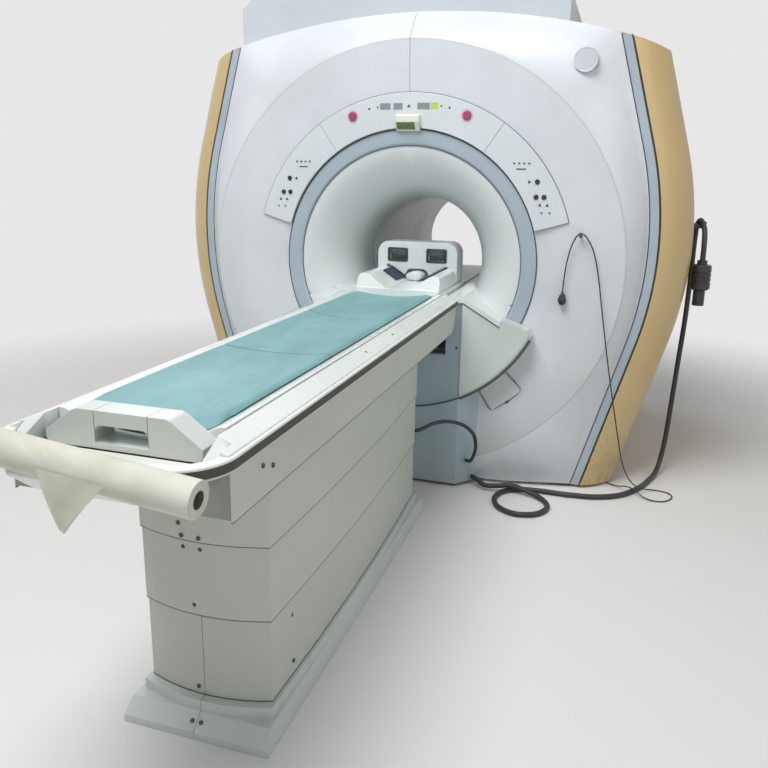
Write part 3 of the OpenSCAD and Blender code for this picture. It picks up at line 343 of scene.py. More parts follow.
def picked(obj, chooser=lambda element: True, mode="FACE"):
    """Enters edit mode with just the faces, edges or vertices that a rule picks, by default all of them."""
    active(obj)
    bpy.ops.object.mode_set(mode="EDIT")
    bpy.ops.mesh.select_mode(type=mode)
    bpy.ops.mesh.select_all(action="DESELECT")
    mesh = bmesh.from_edit_mesh(obj.data)
    found = {"FACE": mesh.faces, "EDGE": mesh.edges, "VERT": mesh.verts}[mode]
    for element in found:
        if chooser(element):
            element.select_set(True)
    mesh.select_flush_mode()
    bmesh.update_edit_mesh(obj.data)
    return obj


def edited(obj):
    bpy.ops.object.mode_set(mode="OBJECT")
    return obj


def inset(obj, *steps, chooser=lambda face: True):
    """Insets the picked faces once for each width and depth."""
    picked(obj, chooser)
    for width, depth in steps:
        bpy.ops.mesh.inset(thickness=width, depth=depth)
    return edited(obj)


def softened(obj, width, segments=2, angle=28.0):
    """Bevels every edge sharper than an angle and shades the rest smooth."""
    modified(obj, "BEVEL", width=width, segments=segments, limit_method="ANGLE",
             angle_limit=math.radians(angle), use_clamp_overlap=True)
    smooth(obj, 40.0)
    return modified(obj, "WEIGHTED_NORMAL", keep_sharp=True)


def dressed(node, material, bevel=0.0, segments=2, name=None):
    """A copy of a CAD node, welded, edge-rounded and smoothly shaded, that stands for it."""
    source = frame["nodes"][node]
    copy = bpy.data.objects.new(name or f"{node}_dressed", source.data.copy())
    bpy.context.scene.collection.objects.link(copy)
    active(copy)
    bpy.ops.object.mode_set(mode="EDIT")
    bpy.ops.mesh.select_all(action="SELECT")
    bpy.ops.mesh.remove_doubles(threshold=0.00002)
    if bevel:
        bpy.ops.mesh.dissolve_limited(angle_limit=math.radians(0.6))
    edited(copy)
    painted(copy, material)
    if bevel:
        softened(copy, bevel, segments)
    else:
        smooth(copy)
    return seated(copy, BODY_OF[node], SLOT_OF[node], node)


def small_parts(obj, material, limit=0.02):
    """Gives the loose parts of a piece that are smaller than a limit, such as screws, another material."""
    obj.data.materials.append(material)
    active(obj)
    mesh = bmesh.new()
    mesh.from_mesh(obj.data)
    seen = set()
    for start in mesh.faces:
        if start in seen:
            continue
        part, edge = {start}, [start]
        while edge:
            for beside in {f for e in edge.pop().edges for f in e.link_faces} - part:
                part.add(beside)
                edge.append(beside)
        seen |= part
        spots = [v.co for f in part for v in f.verts]
        if all(max(c[i] for c in spots) - min(c[i] for c in spots) < limit for i in range(3)):
            for face in part:
                face.material_index = len(obj.data.materials) - 1
    mesh.to_mesh(obj.data)
    mesh.free()
    return obj


def lofted(name, rings, capped=(False, False), closed=True):
    """A skin grown ring by ring from a circle of points, each ring an extrusion of the last one's edges."""
    obj = primitive(name, "circle", (0, 0, 0), vertices=len(rings[0]), radius=1.0)
    active(obj)
    bpy.ops.object.mode_set(mode="EDIT")
    bpy.ops.mesh.select_mode(type="EDGE")
    mesh = bmesh.from_edit_mesh(obj.data)
    order = mesh.verts.layers.int.new("order")
    mesh.verts.ensure_lookup_table()
    for vert in mesh.verts:
        vert[order] = vert.index
        vert.co = rings[0][vert.index]
    if not closed:
        last = len(rings[0]) - 1
        for edge in list(mesh.edges):
            if {v.index for v in edge.verts} == {0, last}:
                mesh.edges.remove(edge)
    bmesh.update_edit_mesh(obj.data)
    bpy.ops.mesh.select_all(action="SELECT")
    if capped[0]:
        bpy.ops.mesh.edge_face_add()
    for ring in rings[1:]:
        bpy.ops.mesh.extrude_edges_move()
        mesh = bmesh.from_edit_mesh(obj.data)
        order = mesh.verts.layers.int["order"]
        for vert in mesh.verts:
            if vert.select:
                vert.co = ring[vert[order]]
        bmesh.update_edit_mesh(obj.data)
    if capped[1]:
        bpy.ops.mesh.edge_face_add()
    bpy.ops.mesh.select_all(action="SELECT")
    bpy.ops.mesh.normals_make_consistent(inside=False)
    edited(obj)
    obj.data.attributes.remove(obj.data.attributes["order"])
    return obj


def cut_away(obj, place, normal):
    """Cuts a piece along a plane and throws away the side that the normal points to."""
    picked(obj)
    bpy.ops.mesh.bisect(plane_co=place, plane_no=normal, clear_outer=True)
    return edited(obj)


def facing(obj, axis, sign):
    """Turns the faces of an open skin so that most of them look along an axis, or against it with sign -1."""
    if sum(face.normal[axis] * face.area for face in obj.data.polygons) * sign < 0:
        picked(obj)
        bpy.ops.mesh.flip_normals()
        edited(obj)
    return obj


def joined(name, pieces):
    active(pieces[0])
    for other in pieces[1:]:
        other.select_set(True)
    bpy.ops.object.join()
    pieces[0].name = name
    return pieces[0]


def grouped(name, pieces, material, body, slot, *replaced, angle=None):
    """Joins like pieces to one, paints it and seats it on its body."""
    obj = joined(name, pieces)
    if angle:
        smooth(obj, angle)
    return seated(painted(obj, material), body, slot, *replaced)


# The covers' outline in millimetres: half width, top, trim, bulge of the sides and gap above the floor.
COVER_W, COVER_TOP, TRIM_W, BULGE, FLOOR_GAP = 1085, 2195, 42, 150, 15
# Height of the widest point, radius of the flank's arc, angle past which it runs straight, and roof radius.
WAIST, FLANK_R, FLANK_A, ROOF_R = 1170, 1650, math.radians(15.5), 3530
HOOD_LEFT, HOOD_RIGHT = -900, 680
# Bore ring, crease of the dish, their depths, and the depth and turn of the covers' outer edge.
RING_R, DISH_R, DISH_Y, CREASE_Y, EDGE_Y, EDGE_DEEP = 614, 1000, 5, -15, 90, 34
# How far in from the widest point the height of the corner between flank and roof is taken.
CORNER_DROP = 120


def flank_drop(z):
    """How far the flank has come in from its widest point at a height."""
    rise, bend = abs(z - WAIST), FLANK_R * math.sin(FLANK_A)
    if rise < bend:
        return FLANK_R - math.sqrt(FLANK_R ** 2 - rise ** 2)
    return FLANK_R * (1 - math.cos(FLANK_A)) + math.tan(FLANK_A) * (rise - bend)


def roof_at(x, top):
    return top - ROOF_R + math.sqrt(ROOF_R ** 2 - x * x)


def right_outline(width, low, top, levels=34):
    """Offsets and heights of the covers' right half, from the bottom of the centre line to its top."""
    corner_x = width - flank_drop(roof_at(width - CORNER_DROP, top))
    corner_z = roof_at(corner_x, top)
    foot_x = width - flank_drop(low)
    points = [(foot_x * k / 10, low) for k in range(10)]
    heights = [low + (corner_z - low) * k / levels for k in range(levels + 1)]
    points += [(width - flank_drop(z), z) for z in heights]
    points += [(corner_x * k / 16, roof_at(corner_x * k / 16, top)) for k in range(15, -1, -1)]
    return points


def whole_outline(width, low, top):
    right = right_outline(width, low, top)
    return right + [(-x, z) for x, z in right[-2:0:-1]]


class CoverSettings(bpy.types.PropertyGroup):
    front_colour: FloatVectorProperty(name="Front", description="Colour of the front covers", subtype="COLOR",
                                      default=(0.725, 0.760, 0.805))
    side_colour: FloatVectorProperty(name="Sides", description="Colour of the side covers", subtype="COLOR",
                                     default=(0.550, 0.400, 0.175))
    trim_colour: FloatVectorProperty(name="Trim", description="Colour of the trim bands and the bore ring",
                                     subtype="COLOR", default=(0.410, 0.490, 0.560))
    edge_radius: FloatProperty(name="Edge radius", description="Rounding of the front covers' outer edge",
                               default=0.006, unit="LENGTH")


class MRI_OT_front_covers(bpy.types.Operator):
    """Shapes the dished front skin, parts it down the middle and lays the dark lines round it: joints at the
    bore ring and painted shade round the panels
    """

    bl_idname = "mri.front_covers"
    bl_label = "Front covers"

    # Radius and depth of the round rings, from inside the bore's edge out to the crease.
    ROUND = [(RING_R, 45), (RING_R, DISH_Y + 5), (RING_R + 1.5, DISH_Y + 1.5), (RING_R + 5, DISH_Y),
             (800, DISH_Y - 9.6), (DISH_R - 6, CREASE_Y + 0.2), (DISH_R, CREASE_Y)]
    # The rings from the crease to the edge, as shares of the way, and how full the skin swells between them.
    SHARES, FULL = (0.12, 0.35, 0.62, 0.85, 1.0), 0.05
    # Along the foot, the edge comes forward to this depth within this distance of the centre line.
    FOOT_Y, FOOT_X = 12, 480
    # Start and end of each control panel in degrees, and the radius and depth of its outer and inner edge.
    PANELS = ((16, 55.4), (55.4, 124.6), (124.6, 164))
    OUTER, INNER = (772.6, -5.0), (618, 2.0)
    # Radius, depth and start in degrees of the joints round the bore ring's two edges.
    RING_JOINTS = ((RING_R - 1, 1.5, -31), (540, 9.5, -24))

    def edge_depth(self, x, z, foot_x):
        if z > FLOOR_GAP + 1:
            return EDGE_Y
        return self.FOOT_Y + (EDGE_Y - self.FOOT_Y) * max(0.0, abs(x) - self.FOOT_X) / (foot_x - self.FOOT_X)

    def execute(self, context):
        settings = context.scene.mri_covers
        white = moulded("front_cover_lacquer", tuple(settings.front_colour), rough=0.30, coat=0.35,
                        grime=0.16, soil=(0.47, 0.47, 0.43), tone=0.04, over=self.painted_crease_shade)
        rim = settings.edge_radius / MM
        edge, third, inner = (whole_outline(COVER_W - inward, FLOOR_GAP + inward, COVER_TOP - inward)
                              for inward in (0, rim * 0.3, rim))
        foot_x = COVER_W - flank_drop(FLOOR_GAP)
        depth = [self.edge_depth(x, z, foot_x) for x, z in edge]
        clock = [math.atan2(z - ISO_Z / MM, x) for x, z in edge]
        rings = [[round_bore(radius, y, a) for a in clock] for radius, y in self.ROUND]
        crease = rings[-1]
        for share in self.SHARES:
            ring = []
            for start, (x, z), y in zip(crease, inner, depth):
                end = at_ring(x, y, z)
                full = self.FULL * (end - start).length * 4 * share * (1 - share)
                ring.append(start.lerp(end, share) - Vector((0, full, 0)))
            rings.append(ring)
        rings.append([at_ring(x, y + rim * 0.3, z) for (x, z), y in zip(third, depth)])
        rings.append([at_ring(x, y + rim, z) for (x, z), y in zip(edge, depth)])
        rings.append([at_ring(x, EDGE_Y + EDGE_DEEP, z) for x, z in edge])
        for side, node in ((1, "front_cover_right"), (-1, "front_cover_left")):
            skin = facing(lofted(f"{node}_skin", rings), 1, -1)
            cut_away(skin, (side * 0.001, 0, 0), (-side, 0, 0))
            modified(skin, "SOLIDIFY", thickness=0.005, offset=-1.0, use_even_offset=False)
            seated(smooth(painted(skin, white), 24.0), "magnet", SLOT_OF[node], node)
        self.joints(rubbery("joint_line", (0.045, 0.055, 0.065), rough=0.55))
        return {"FINISHED"}

    def painted_crease_shade(self, p, toned):
        """Painted shade: darkens the dish a little towards its crease and the cover towards the bottom, and
        draws the crease as a soft dark line.
        """
        x, _, z = p.axes()
        up = z - ISO_Z
        radius = (x * x + up * up).power(0.5)
        crease = DISH_R * MM
        # Painted shade: a dark line in the crease, the dish darker just inside it, the lower cover darker.
        line = (radius - crease).size().fall(0.001, 0.006)
        within = radius.band(0.78, crease, crease - 0.001, crease + 0.001)
        low = z.fall(0.35, 1.7)
        return p.mix(line * 0.34 + within * (low * 0.26 + 0.04) + low * 0.12, toned, (0.34, 0.38, 0.35))

    def joints(self, dark):
        """Thin dark lines: joints round both edges of the bore ring, and round each control panel a line of
        painted shade at its raised edge.
        """
        def arc(radius, y, low, high, steps):
            return [round_bore(radius, y, low + (high - low) * k / steps) for k in range(steps + 1)]

        lines = []
        for radius, y, low in self.RING_JOINTS:
            path = arc(radius, y, math.radians(low), math.radians(180 - low), 120)
            lines.append(tube("ring_joint", path, 0.0016, 8))
        # Painted shade: a dark tube round each panel's raised edge stands for the shade at the step.
        for low, high in self.PANELS:
            low, high = math.radians(low), math.radians(high)
            loop = arc(*self.OUTER, low, high, 40) + arc(*self.INNER, high, low, 40)
            lines.append(tube("panel_joint", loop + arc(*self.OUTER, low, low, 1), 0.0024, 8))
        grouped("cover_joints", lines, dark, "magnet", "key_black")


class MRI_OT_side_covers(bpy.types.Operator):
    """Shapes the two bulged side covers, the trim bands before them and the dark lines of painted shadow
    between
    """

    bl_idname = "mri.side_covers"
    bl_label = "Side covers"

    # Share of the bulge and depth of each ring, from the trim to the back.
    SWELL = [(0, 94), (0.17, 104), (0.34, 118), (0.52, 140), (0.70, 168), (0.85, 198), (0.95, 226),
             (0.99, 290), (1, 394), (1, 900), (1, 1400), (0.98, 1470), (0.90, 1550), (0.72, 1630),
             (0.52, 1668), (0.3, 1700)]
    BACK_Y = 1700
    # Section of a trim band: offset from the front cover's edge and depth.
    SECTION = [(2, 124), (2, 95.5), (4.5, 92.6), (7, 92), (TRIM_W - 5, 92), (TRIM_W - 2, 92.6),
               (TRIM_W, 95.5), (TRIM_W, 124)]
    SIDE_W = COVER_W + TRIM_W + 8

    def execute(self, context):
        settings = context.scene.mri_covers
        tan = self.veneer(tuple(settings.side_colour))
        grey = moulded("trim_lacquer", tuple(settings.trim_colour), rough=0.36, coat=0.2, grime=0.10)
        # Painted shadow: this dark material makes the lines along the trim bands' edges, where the gaps lie in
        # shadow.
        dark = rubbery("trim_joint", (0.05, 0.045, 0.035), rough=0.5)
        rings = []
        for share, y in self.SWELL:
            outline = right_outline(self.SIDE_W + BULGE * share, FLOOR_GAP, COVER_TOP - 3)
            rings.append([at_ring(x, y, z) for x, z in outline])
        flange = right_outline(self.SIDE_W + BULGE * 0.3 - 60, FLOOR_GAP + 50, COVER_TOP - 60)
        for side, node, limit in ((1, "side_cover_right", HOOD_RIGHT), (-1, "side_cover_left", -HOOD_LEFT)):
            skin = lofted(f"{node}_skin", rings, closed=False)
            self.lip(skin, [at_ring(x, self.BACK_Y, z) for x, z in flange])
            cut_away(skin, (limit * MM + 0.0003, 0, 0), (-1, 0, 0))
            facing(skin, 0, 1)
            modified(skin, "SOLIDIFY", thickness=0.006, offset=-1.0)
            if side < 0:
                self.mirrored(skin)
            seated(smooth(painted(skin, tan), 28.0), "magnet", SLOT_OF[node], node)
        bands, lines = [], []
        for side in (1, -1):
            bands.append(lofted(f"trim_band_{side + 1}", [
                [at_ring(side * (COVER_W + x - flank_drop(z)), y, z) for x, y in self.SECTION]
                for z in self.levels()], capped=(True, True)))
            # Painted shadow: dark tubes along both edges of each trim band stand for the shadow in the gaps.
            for step, (offset, radius) in enumerate(((TRIM_W + 1.2, 0.0026), (1.0, 0.0014))):
                path = [at_ring(side * (COVER_W + offset - flank_drop(z)), 93, z) for z in self.levels()]
                lines.append(tube(f"trim_line_{side + 1}_{step}", path, radius, 8))
        grouped("trim_band_pair", bands, grey, "magnet", "grey_trim", "trim_bands", angle=30.0)
        grouped("trim_joint_lines", lines, dark, "magnet", "key_black")
        return {"FINISHED"}

    def levels(self, count=48):
        """Heights up the flank, from the floor to the roof's corner."""
        corner = roof_at(COVER_W + TRIM_W - CORNER_DROP, COVER_TOP)
        top = roof_at(COVER_W + TRIM_W - flank_drop(corner), COVER_TOP) - 1
        return [FLOOR_GAP + 1 + (top - FLOOR_GAP - 1) * k / count for k in range(count + 1)]

    def lip(self, skin, flange):
        """Turns the back edge of a side cover in to a flange."""
        picked(skin, lambda vert: vert.co.y > FRONT + (self.BACK_Y - 0.5) * MM, "VERT")
        bpy.ops.mesh.select_mode(type="EDGE")
        bpy.ops.mesh.extrude_edges_move()
        mesh = bmesh.from_edit_mesh(skin.data)
        for vert in [vert for vert in mesh.verts if vert.select]:
            vert.co = min(flange, key=lambda spot: (spot - vert.co).length)
        bmesh.update_edit_mesh(skin.data)
        edited(skin)

    def mirrored(self, obj):
        picked(obj)
        mesh = bmesh.from_edit_mesh(obj.data)
        for vert in mesh.verts:
            vert.co.x = -vert.co.x
        bmesh.update_edit_mesh(obj.data)
        bpy.ops.mesh.flip_normals()
        edited(obj)

    def veneer(self, colour):
        """Tan lacquer with faint upright streaks, rubbed low down and paler along the front edge."""
        p = Paint("side_cover_lacquer")
        _, y, z = p.axes()
        streak = p.noise(3.0, 6.0, 0.62, stretch=(1.0, 1.0, 0.05), warp=0.3)
        cloud = p.noise(1.3, 3.0, 0.5)
        marks = p.noise(24.0, 5.0, 0.7, warp=1.0)
        toned = p.mix(streak.step(0.25, 0.75), shade(colour, 0.86), shade(colour, 1.07))
        lifted = p.mix(y.fall(FRONT + 0.10, FRONT + 0.32) * 0.45, toned, shade(colour, 1.25, 0.04))
        rubbed = (z.fall(0.02, 0.5) * marks.step(0.45, 0.7) * 0.5).least(0.6)
        worn = p.mix(rubbed, lifted, shade(colour, 0.55))
        return p.finish(
            Base_Color=p.mix(cloud.step(0.4, 0.8) * 0.14, worn, (0.72, 0.60, 0.40)),
            Roughness=0.34 + marks.step(0.5, 0.8) * 0.15, Coat_Weight=0.25, Coat_Roughness=0.15,
            Normal=p.bump(p.noise(380.0, 2.0, 0.5), 0.1, 0.0004))


class MRI_OT_roof_and_rear(bpy.types.Operator):
    """Dresses the roof hood and the rear cover"""

    bl_idname = "mri.roof_and_rear"
    bl_label = "Roof hood and rear cover"

    def execute(self, context):
        hood = moulded("hood_paint", (0.56, 0.61, 0.66), rough=0.42, coat=0.1, grime=0.07, tone=0.03)
        dressed("roof_hood", hood, 0.006, 3, "roof_hood_shell")
        rear = moulded("rear_paint", (0.72, 0.74, 0.75), rough=0.4, coat=0.12, grime=0.08, tone=0.02)
        dressed("rear_cover", rear, 0.002, 2, "rear_cover_plate")
        return {"FINISHED"}


class MRI_OT_bore(bpy.types.Operator):
    """Dresses the bore ring, the bell mouth, the liner and the bridge"""

    bl_idname = "mri.bore"
    bl_label = "Bore"

    def execute(self, context):
        trim = tuple(context.scene.mri_covers.trim_colour)
        ring = moulded("ring_lacquer", trim, rough=0.32, grime=0.03, tone=0.03)
        dressed("bore_ring", ring, 0.0015, 3, "bore_ring_trim")
        dressed("bell_mouth", self.bell_paint(), name="bell_mouth_skin")
        liner = moulded("liner_paint", (0.60, 0.65, 0.64), rough=0.38, coat=0.15)
        dressed("bore_liner", liner, name="bore_liner_tube")
        white = moulded("bridge_plastic", (0.74, 0.78, 0.76), rough=0.38, coat=0.15, grime=0.14)
        dressed("bore_bridge", white, 0.002, 2, "bore_bridge_rail")
        shoulder = moulded("shoulder_lacquer", (0.80, 0.84, 0.84), rough=0.28, coat=0.35, grime=0.04,
                           over=self.dim_well)
        dressed("mouth_floor", shoulder, 0.003, 3, "mouth_shoulders")
        return {"FINISHED"}

    def dim_well(self, p, toned):
        """Painted shade: the well between the shoulders is painted nearly black for the deep shade in it."""
        x, _, z = p.axes()
        well = z.fall(0.868, 0.874) * x.size().fall(0.228, 0.232)
        return p.mix(well * 0.8, toned, (0.06, 0.075, 0.075))

    def bell_paint(self):
        """Pale lacquer whose colour is painted darker smoothly towards the dim throat, as painted shade."""
        p = Paint("bell_lacquer")
        # Painted shade: the colour darkens with depth into the bore.
        deep = p.axes()[1].step(FRONT + 0.02, FRONT + 0.42)
        tone = p.mix(deep, (0.72, 0.77, 0.77), (0.50, 0.56, 0.55))
        wipe = p.noise(9.0, 4.0, 0.6, stretch=(1.0, 0.2, 1.0))
        return p.finish(
            Base_Color=p.mix(p.noise(3.0, 4.0, 0.6).step(0.35, 0.7) * 0.06, tone, (0.55, 0.60, 0.54)),
            Roughness=0.34 + wipe.step(0.4, 0.9) * 0.03, Coat_Weight=0.2, Coat_Roughness=0.2,
            Normal=p.bump(p.noise(400.0, 2.0, 0.5), 0.08, 0.0004))


class MRI_OT_controls(bpy.types.Operator):
    """Dresses the control panels, their keys and stop buttons, the displays and the alignment housing"""

    bl_idname = "mri.controls"
    bl_label = "Controls"

    # Left and right side of each display window in metres, their height, and the windows that are lit.
    WINDOWS, LIT = [(-0.137, -0.087), (-0.073, -0.030), (0.040, 0.098)], [(0.103, 0.137)]
    WINDOW_LOW, WINDOW_HIGH, WINDOW_Y = 1.764, 1.792, -0.0126
    # Place and radius of the dots beside the windows, and the depth of all printed marks.
    DOTS = [(-0.190, 1.768, 0.005), (-0.149, 1.775, 0.004), (0.151, 1.777, 0.004), (0.189, 1.769, 0.005)]
    MARK_Y = -0.0128
    # Place of the plain disc, its radius, and its rim, dip and swell as insets.
    DISC_X, DISC_Z, DISC_R = 0.766, 1.956, 0.050
    DISC_STEPS = ((0.0045, 0.0), (0.0015, -0.0012), (0.020, 0.0006))

    def execute(self, context):
        face = moulded("panel_membrane", (0.71, 0.755, 0.78), rough=0.5, coat=0.05, peel=0.2, grime=0.10,
                       tone=0.03)
        dressed("control_panels", face, 0.0008, 2, "control_panel_plates")
        red = moulded("stop_plastic", (0.42, 0.045, 0.17), rough=0.26, coat=0.4, grime=0.05)
        key = rubbery("key_rubber", (0.020, 0.022, 0.025), rough=0.5)
        for side in ("left", "right"):
            dressed(f"stop_{side}", red, 0.0012, 3, f"stop_button_{side}")
        for key_place in ("left_top", "left_inner", "left_outer", "right_top", "right_inner", "right_outer"):
            dressed(f"key_{key_place}", key, 0.0008, 2, f"key_cap_{key_place}")
        self.collars(moulded("stop_collar", (0.72, 0.50, 0.60), rough=0.35, grime=0.03))
        for name, spans, paint, colour in (
                ("display_windows", self.WINDOWS, "display_grey", (0.21, 0.25, 0.29)),
                ("display_lit", self.LIT, "display_green", (0.44, 0.60, 0.10))):
            grouped(name, [self.window(*span) for span in spans], self.display_paint(paint, colour), "magnet",
                    "panel_grey", angle=32.0)
        self.marks()
        dressed("aperture_box", self.housing_paint(), 0.003, 3, "alignment_housing")
        self.badge_plate(moulded("plain_disc", (0.66, 0.70, 0.74), rough=0.3, coat=0.3, grime=0.05))
        return {"FINISHED"}

    def collars(self, material):
        """A pale collar round each stop button."""
        collars = []
        for side in (-1, 1):
            collar = primitive("stop_collar", "circle", (side * 0.270, FRONT - 0.0122, ISO_Z + 0.669),
                               vertices=48, radius=0.0265, fill_type="NGON", rotation=(math.pi / 2, 0, 0))
            picked(collar)
            bpy.ops.mesh.inset(thickness=0.007, depth=0.0)
            bpy.ops.mesh.delete(type="FACE")
            modified(edited(collar), "SOLIDIFY", thickness=0.0012, offset=1.0)
            collars.append(baked_place(softened(collar, 0.0003)))
        grouped("stop_collars", collars, material, "magnet", "panel_grey")

    def window(self, left, right):
        """A thin window let into a panel, with a raised rim."""
        wide, high = right - left, self.WINDOW_HIGH - self.WINDOW_LOW
        middle = ((left + right) / 2, FRONT + self.WINDOW_Y, (self.WINDOW_LOW + self.WINDOW_HIGH) / 2)
        obj = primitive("panel_window", "plane", middle, size=1.0, rotation=(math.pi / 2, 0, 0))
        obj.scale = (wide, high, 1.0)
        return inset(baked_place(obj), (min(wide, high) * 0.09, 0.0), (0.0002, -0.0004))

    def mark(self, x, z, radius, sides=3, turn=0.0):
        """A printed mark as a thin flat tile."""
        return baked_place(primitive("panel_mark", "cylinder", (x, FRONT + self.MARK_Y, z), vertices=sides,
                                     radius=radius, depth=0.001, rotation=(math.pi / 2, turn, 0)))

    def marks(self):
        """Dots, triangles and bars beside the windows and the keys."""
        ink = [self.mark(x, z, radius, 12) for x, z, radius in self.DOTS]
        ink.append(self.mark(0.0, 1.779, 0.0095))
        for side in (-1, 1):
            ink.append(self.mark(side * 0.561, 1.452, 0.0095, turn=math.pi / 2 * side))
            ink += [self.mark(side * x, 1.352, 0.009) for x in (0.612, 0.645)]
            ink += [self.mark(side * (0.512 + 0.022 * k), 1.531, 0.0072, turn=math.pi / 2)
                    for k in range(-1, 3)]
            line = primitive("panel_mark", "cube", (side * 0.522, FRONT + self.MARK_Y, 1.507), size=1.0)
            line.scale = (0.044, 0.001, 0.005)
            ink.append(baked_place(line))
            ink += [self.mark(side * x, 1.319, 0.0065, turn=math.pi) for x in (0.622, 0.657)]
        marks = softened(joined("panel_marks", ink), 0.0002, 1, 50.0)
        seated(painted(marks, self.ink_paint()), "magnet", "key_black")

    def display_paint(self, name, colour):
        """Smoked display film with a fine grid behind it."""
        p = Paint(name)
        x, _, z = p.axes()
        grid = (x * 900.0).wave().size().most((z * 900.0).wave().size())
        return p.finish(Base_Color=p.mix(grid.step(0.75, 0.98) * 0.5, colour, shade(colour, 1.6)),
                        Roughness=0.22 + p.noise(40.0, 3.0, 0.5) * 0.1, Coat_Weight=0.5, Coat_Roughness=0.08)

    def ink_paint(self):
        p = Paint("panel_ink")
        wear = p.noise(260.0, 4.0, 0.6)
        return p.finish(Base_Color=p.mix(wear.step(0.55, 0.8) * 0.3, (0.055, 0.065, 0.08), (0.2, 0.22, 0.25)),
                        Roughness=0.5 + wear * 0.15)

    def housing_paint(self):
        """Cream housing whose sloping lower face is an olive light window."""
        p = Paint("alignment_housing")
        x, _, z = p.axes()
        window = z.band(1.6750, 1.6765, 1.7065, 1.7080) * x.band(-0.0525, -0.0515, 0.034, 0.035)
        speck = p.noise(160.0, 5.0, 0.7)
        glass = p.mix(speck.step(0.4, 0.65), (0.055, 0.105, 0.018), (0.20, 0.29, 0.06))
        cream = p.mix(p.noise(20.0, 4.0, 0.6).step(0.4, 0.7) * 0.3, (0.80, 0.82, 0.70), (0.66, 0.66, 0.54))
        return p.finish(Base_Color=p.mix(window, cream, glass), Roughness=0.36 - window * 0.18,
                        Coat_Weight=0.2 + window * 0.4, Normal=p.bump(speck, 0.06, 0.0004))

    def badge_plate(self, material):
        """The round place at the top right, left plain: a shallow dished disc."""
        obj = primitive("plain_disc", "circle", (0, 0, 0), vertices=64, radius=self.DISC_R, fill_type="NGON",
                        rotation=(math.pi / 2, 0, 0))
        inset(obj, *self.DISC_STEPS)
        obj.location = (self.DISC_X, FRONT - 0.0030, self.DISC_Z)
        modified(obj, "SOLIDIFY", thickness=0.030, offset=-1.0)
        seated(painted(softened(obj, 0.0006), material), "magnet", "panel_grey")


# The cords' routes in millimetres, the same points as the CAD's.
CALL_ROUTE = [
    (738, -24, 974), (740, -24, 1030), (748, -26, 1110), (765, -30, 1185), (785, -32, 1226), (801, -32, 1234),
    (820, -32, 1226), (845, -32, 1190), (866, -34, 1140), (890, -36, 1040), (919, -44, 880),
    (957, -60, 680), (990, -66, 520), (1024, -60, 360), (1060, -30, 200), (1105, 40, 90),
    (1160, 130, 25), (1225, 180, 4), (1285, 165, 4), (1300, 115, 4), (1265, 60, 4), (1215, 48, 4),
    (1170, 62, 10), (1138, 84, 24), (1110, 108, 30), (1082, 132, 24), (1050, 158, 10), (1000, 195, 4),
]
CABLE_ROUTE = [
    (1334, 300, 1112), (1334, 304, 1170), (1332, 325, 1240), (1322, 360, 1278), (1314, 400, 1287),
    (1306, 440, 1262), (1304, 462, 1190), (1304, 468, 1000), (1300, 468, 800), (1290, 468, 600),
    (1280, 465, 400), (1270, 455, 220), (1256, 430, 100), (1235, 380, 30), (1200, 285, 13),
    (1150, 165, 13), (1070, 50, 13), (960, -15, 13), (830, -35, 13), (700, -35, 13), (600, -50, 13),
    (530, -100, 13), (505, -190, 13), (540, -280, 13), (625, -325, 13), (715, -290, 13),
    (750, -205, 13), (715, -125, 13), (640, -90, 26), (570, -82, 41), (500, -84, 30), (440, -86, 26),
    (396, -58, 38), (366.2, -32.1, 40),
]
HOSE_ROUTE = [
    (140, -420, 380), (166, -420, 380), (200, -410, 387), (250, -350, 404), (300, -270, 390), (350, -190, 350),
    (384, -130, 290), (392, -108, 220), (378, -98, 165), (361, -84, 138), (338.2, -64.1, 132),
]

def smooth_route(points, steps):
    """The same curve through the route's points as the CAD tubes follow."""
    spots = [at_ring(*point) for point in points]
    found = []
    for i in range(len(spots) - 1):
        before, here, there = spots[max(i - 1, 0)], spots[i], spots[i + 1]
        after = spots[min(i + 2, len(spots) - 1)]
        for k in range(steps):
            t = k / steps
            found.append(0.5 * (
                2 * here + (there - before) * t + (2 * before - 5 * here + 4 * there - after) * t * t
                + (3 * here - before - 3 * there + after) * t ** 3))
    return found + [spots[-1]]


def route_length(path):
    return sum((b - a).length for a, b in zip(path, path[1:]))


def tube(name, path, radius, sides):
    """A round tube swept along a path, with closed ends."""
    nothing_selected()
    curve = bpy.data.curves.new(name, "CURVE")
    curve.dimensions = "3D"
    line = curve.splines.new("POLY")
    line.points.add(len(path) - 1)
    for point, spot in zip(line.points, path):
        point.co = (*spot, 1.0)
    curve.bevel_depth = radius
    curve.bevel_resolution = max(1, sides // 4 - 1)
    curve.use_fill_caps = True
    obj = bpy.data.objects.new(name, curve)
    bpy.context.scene.collection.objects.link(obj)
    active(obj)
    bpy.ops.object.convert(target="MESH")
    return smooth(bpy.context.object, 50.0)


class CordSettings(bpy.types.PropertyGroup):
    call_diameter: FloatProperty(name="Call cord", description="Diameter of the call cord", default=0.006,
                                 unit="LENGTH")
    cable_diameter: FloatProperty(name="Coil cable", description="Diameter of the coil cable", default=0.024,
                                  unit="LENGTH")
    hose_diameter: FloatProperty(name="Feed hose", description="Diameter of the feed hose", default=0.017,
                                 unit="LENGTH")


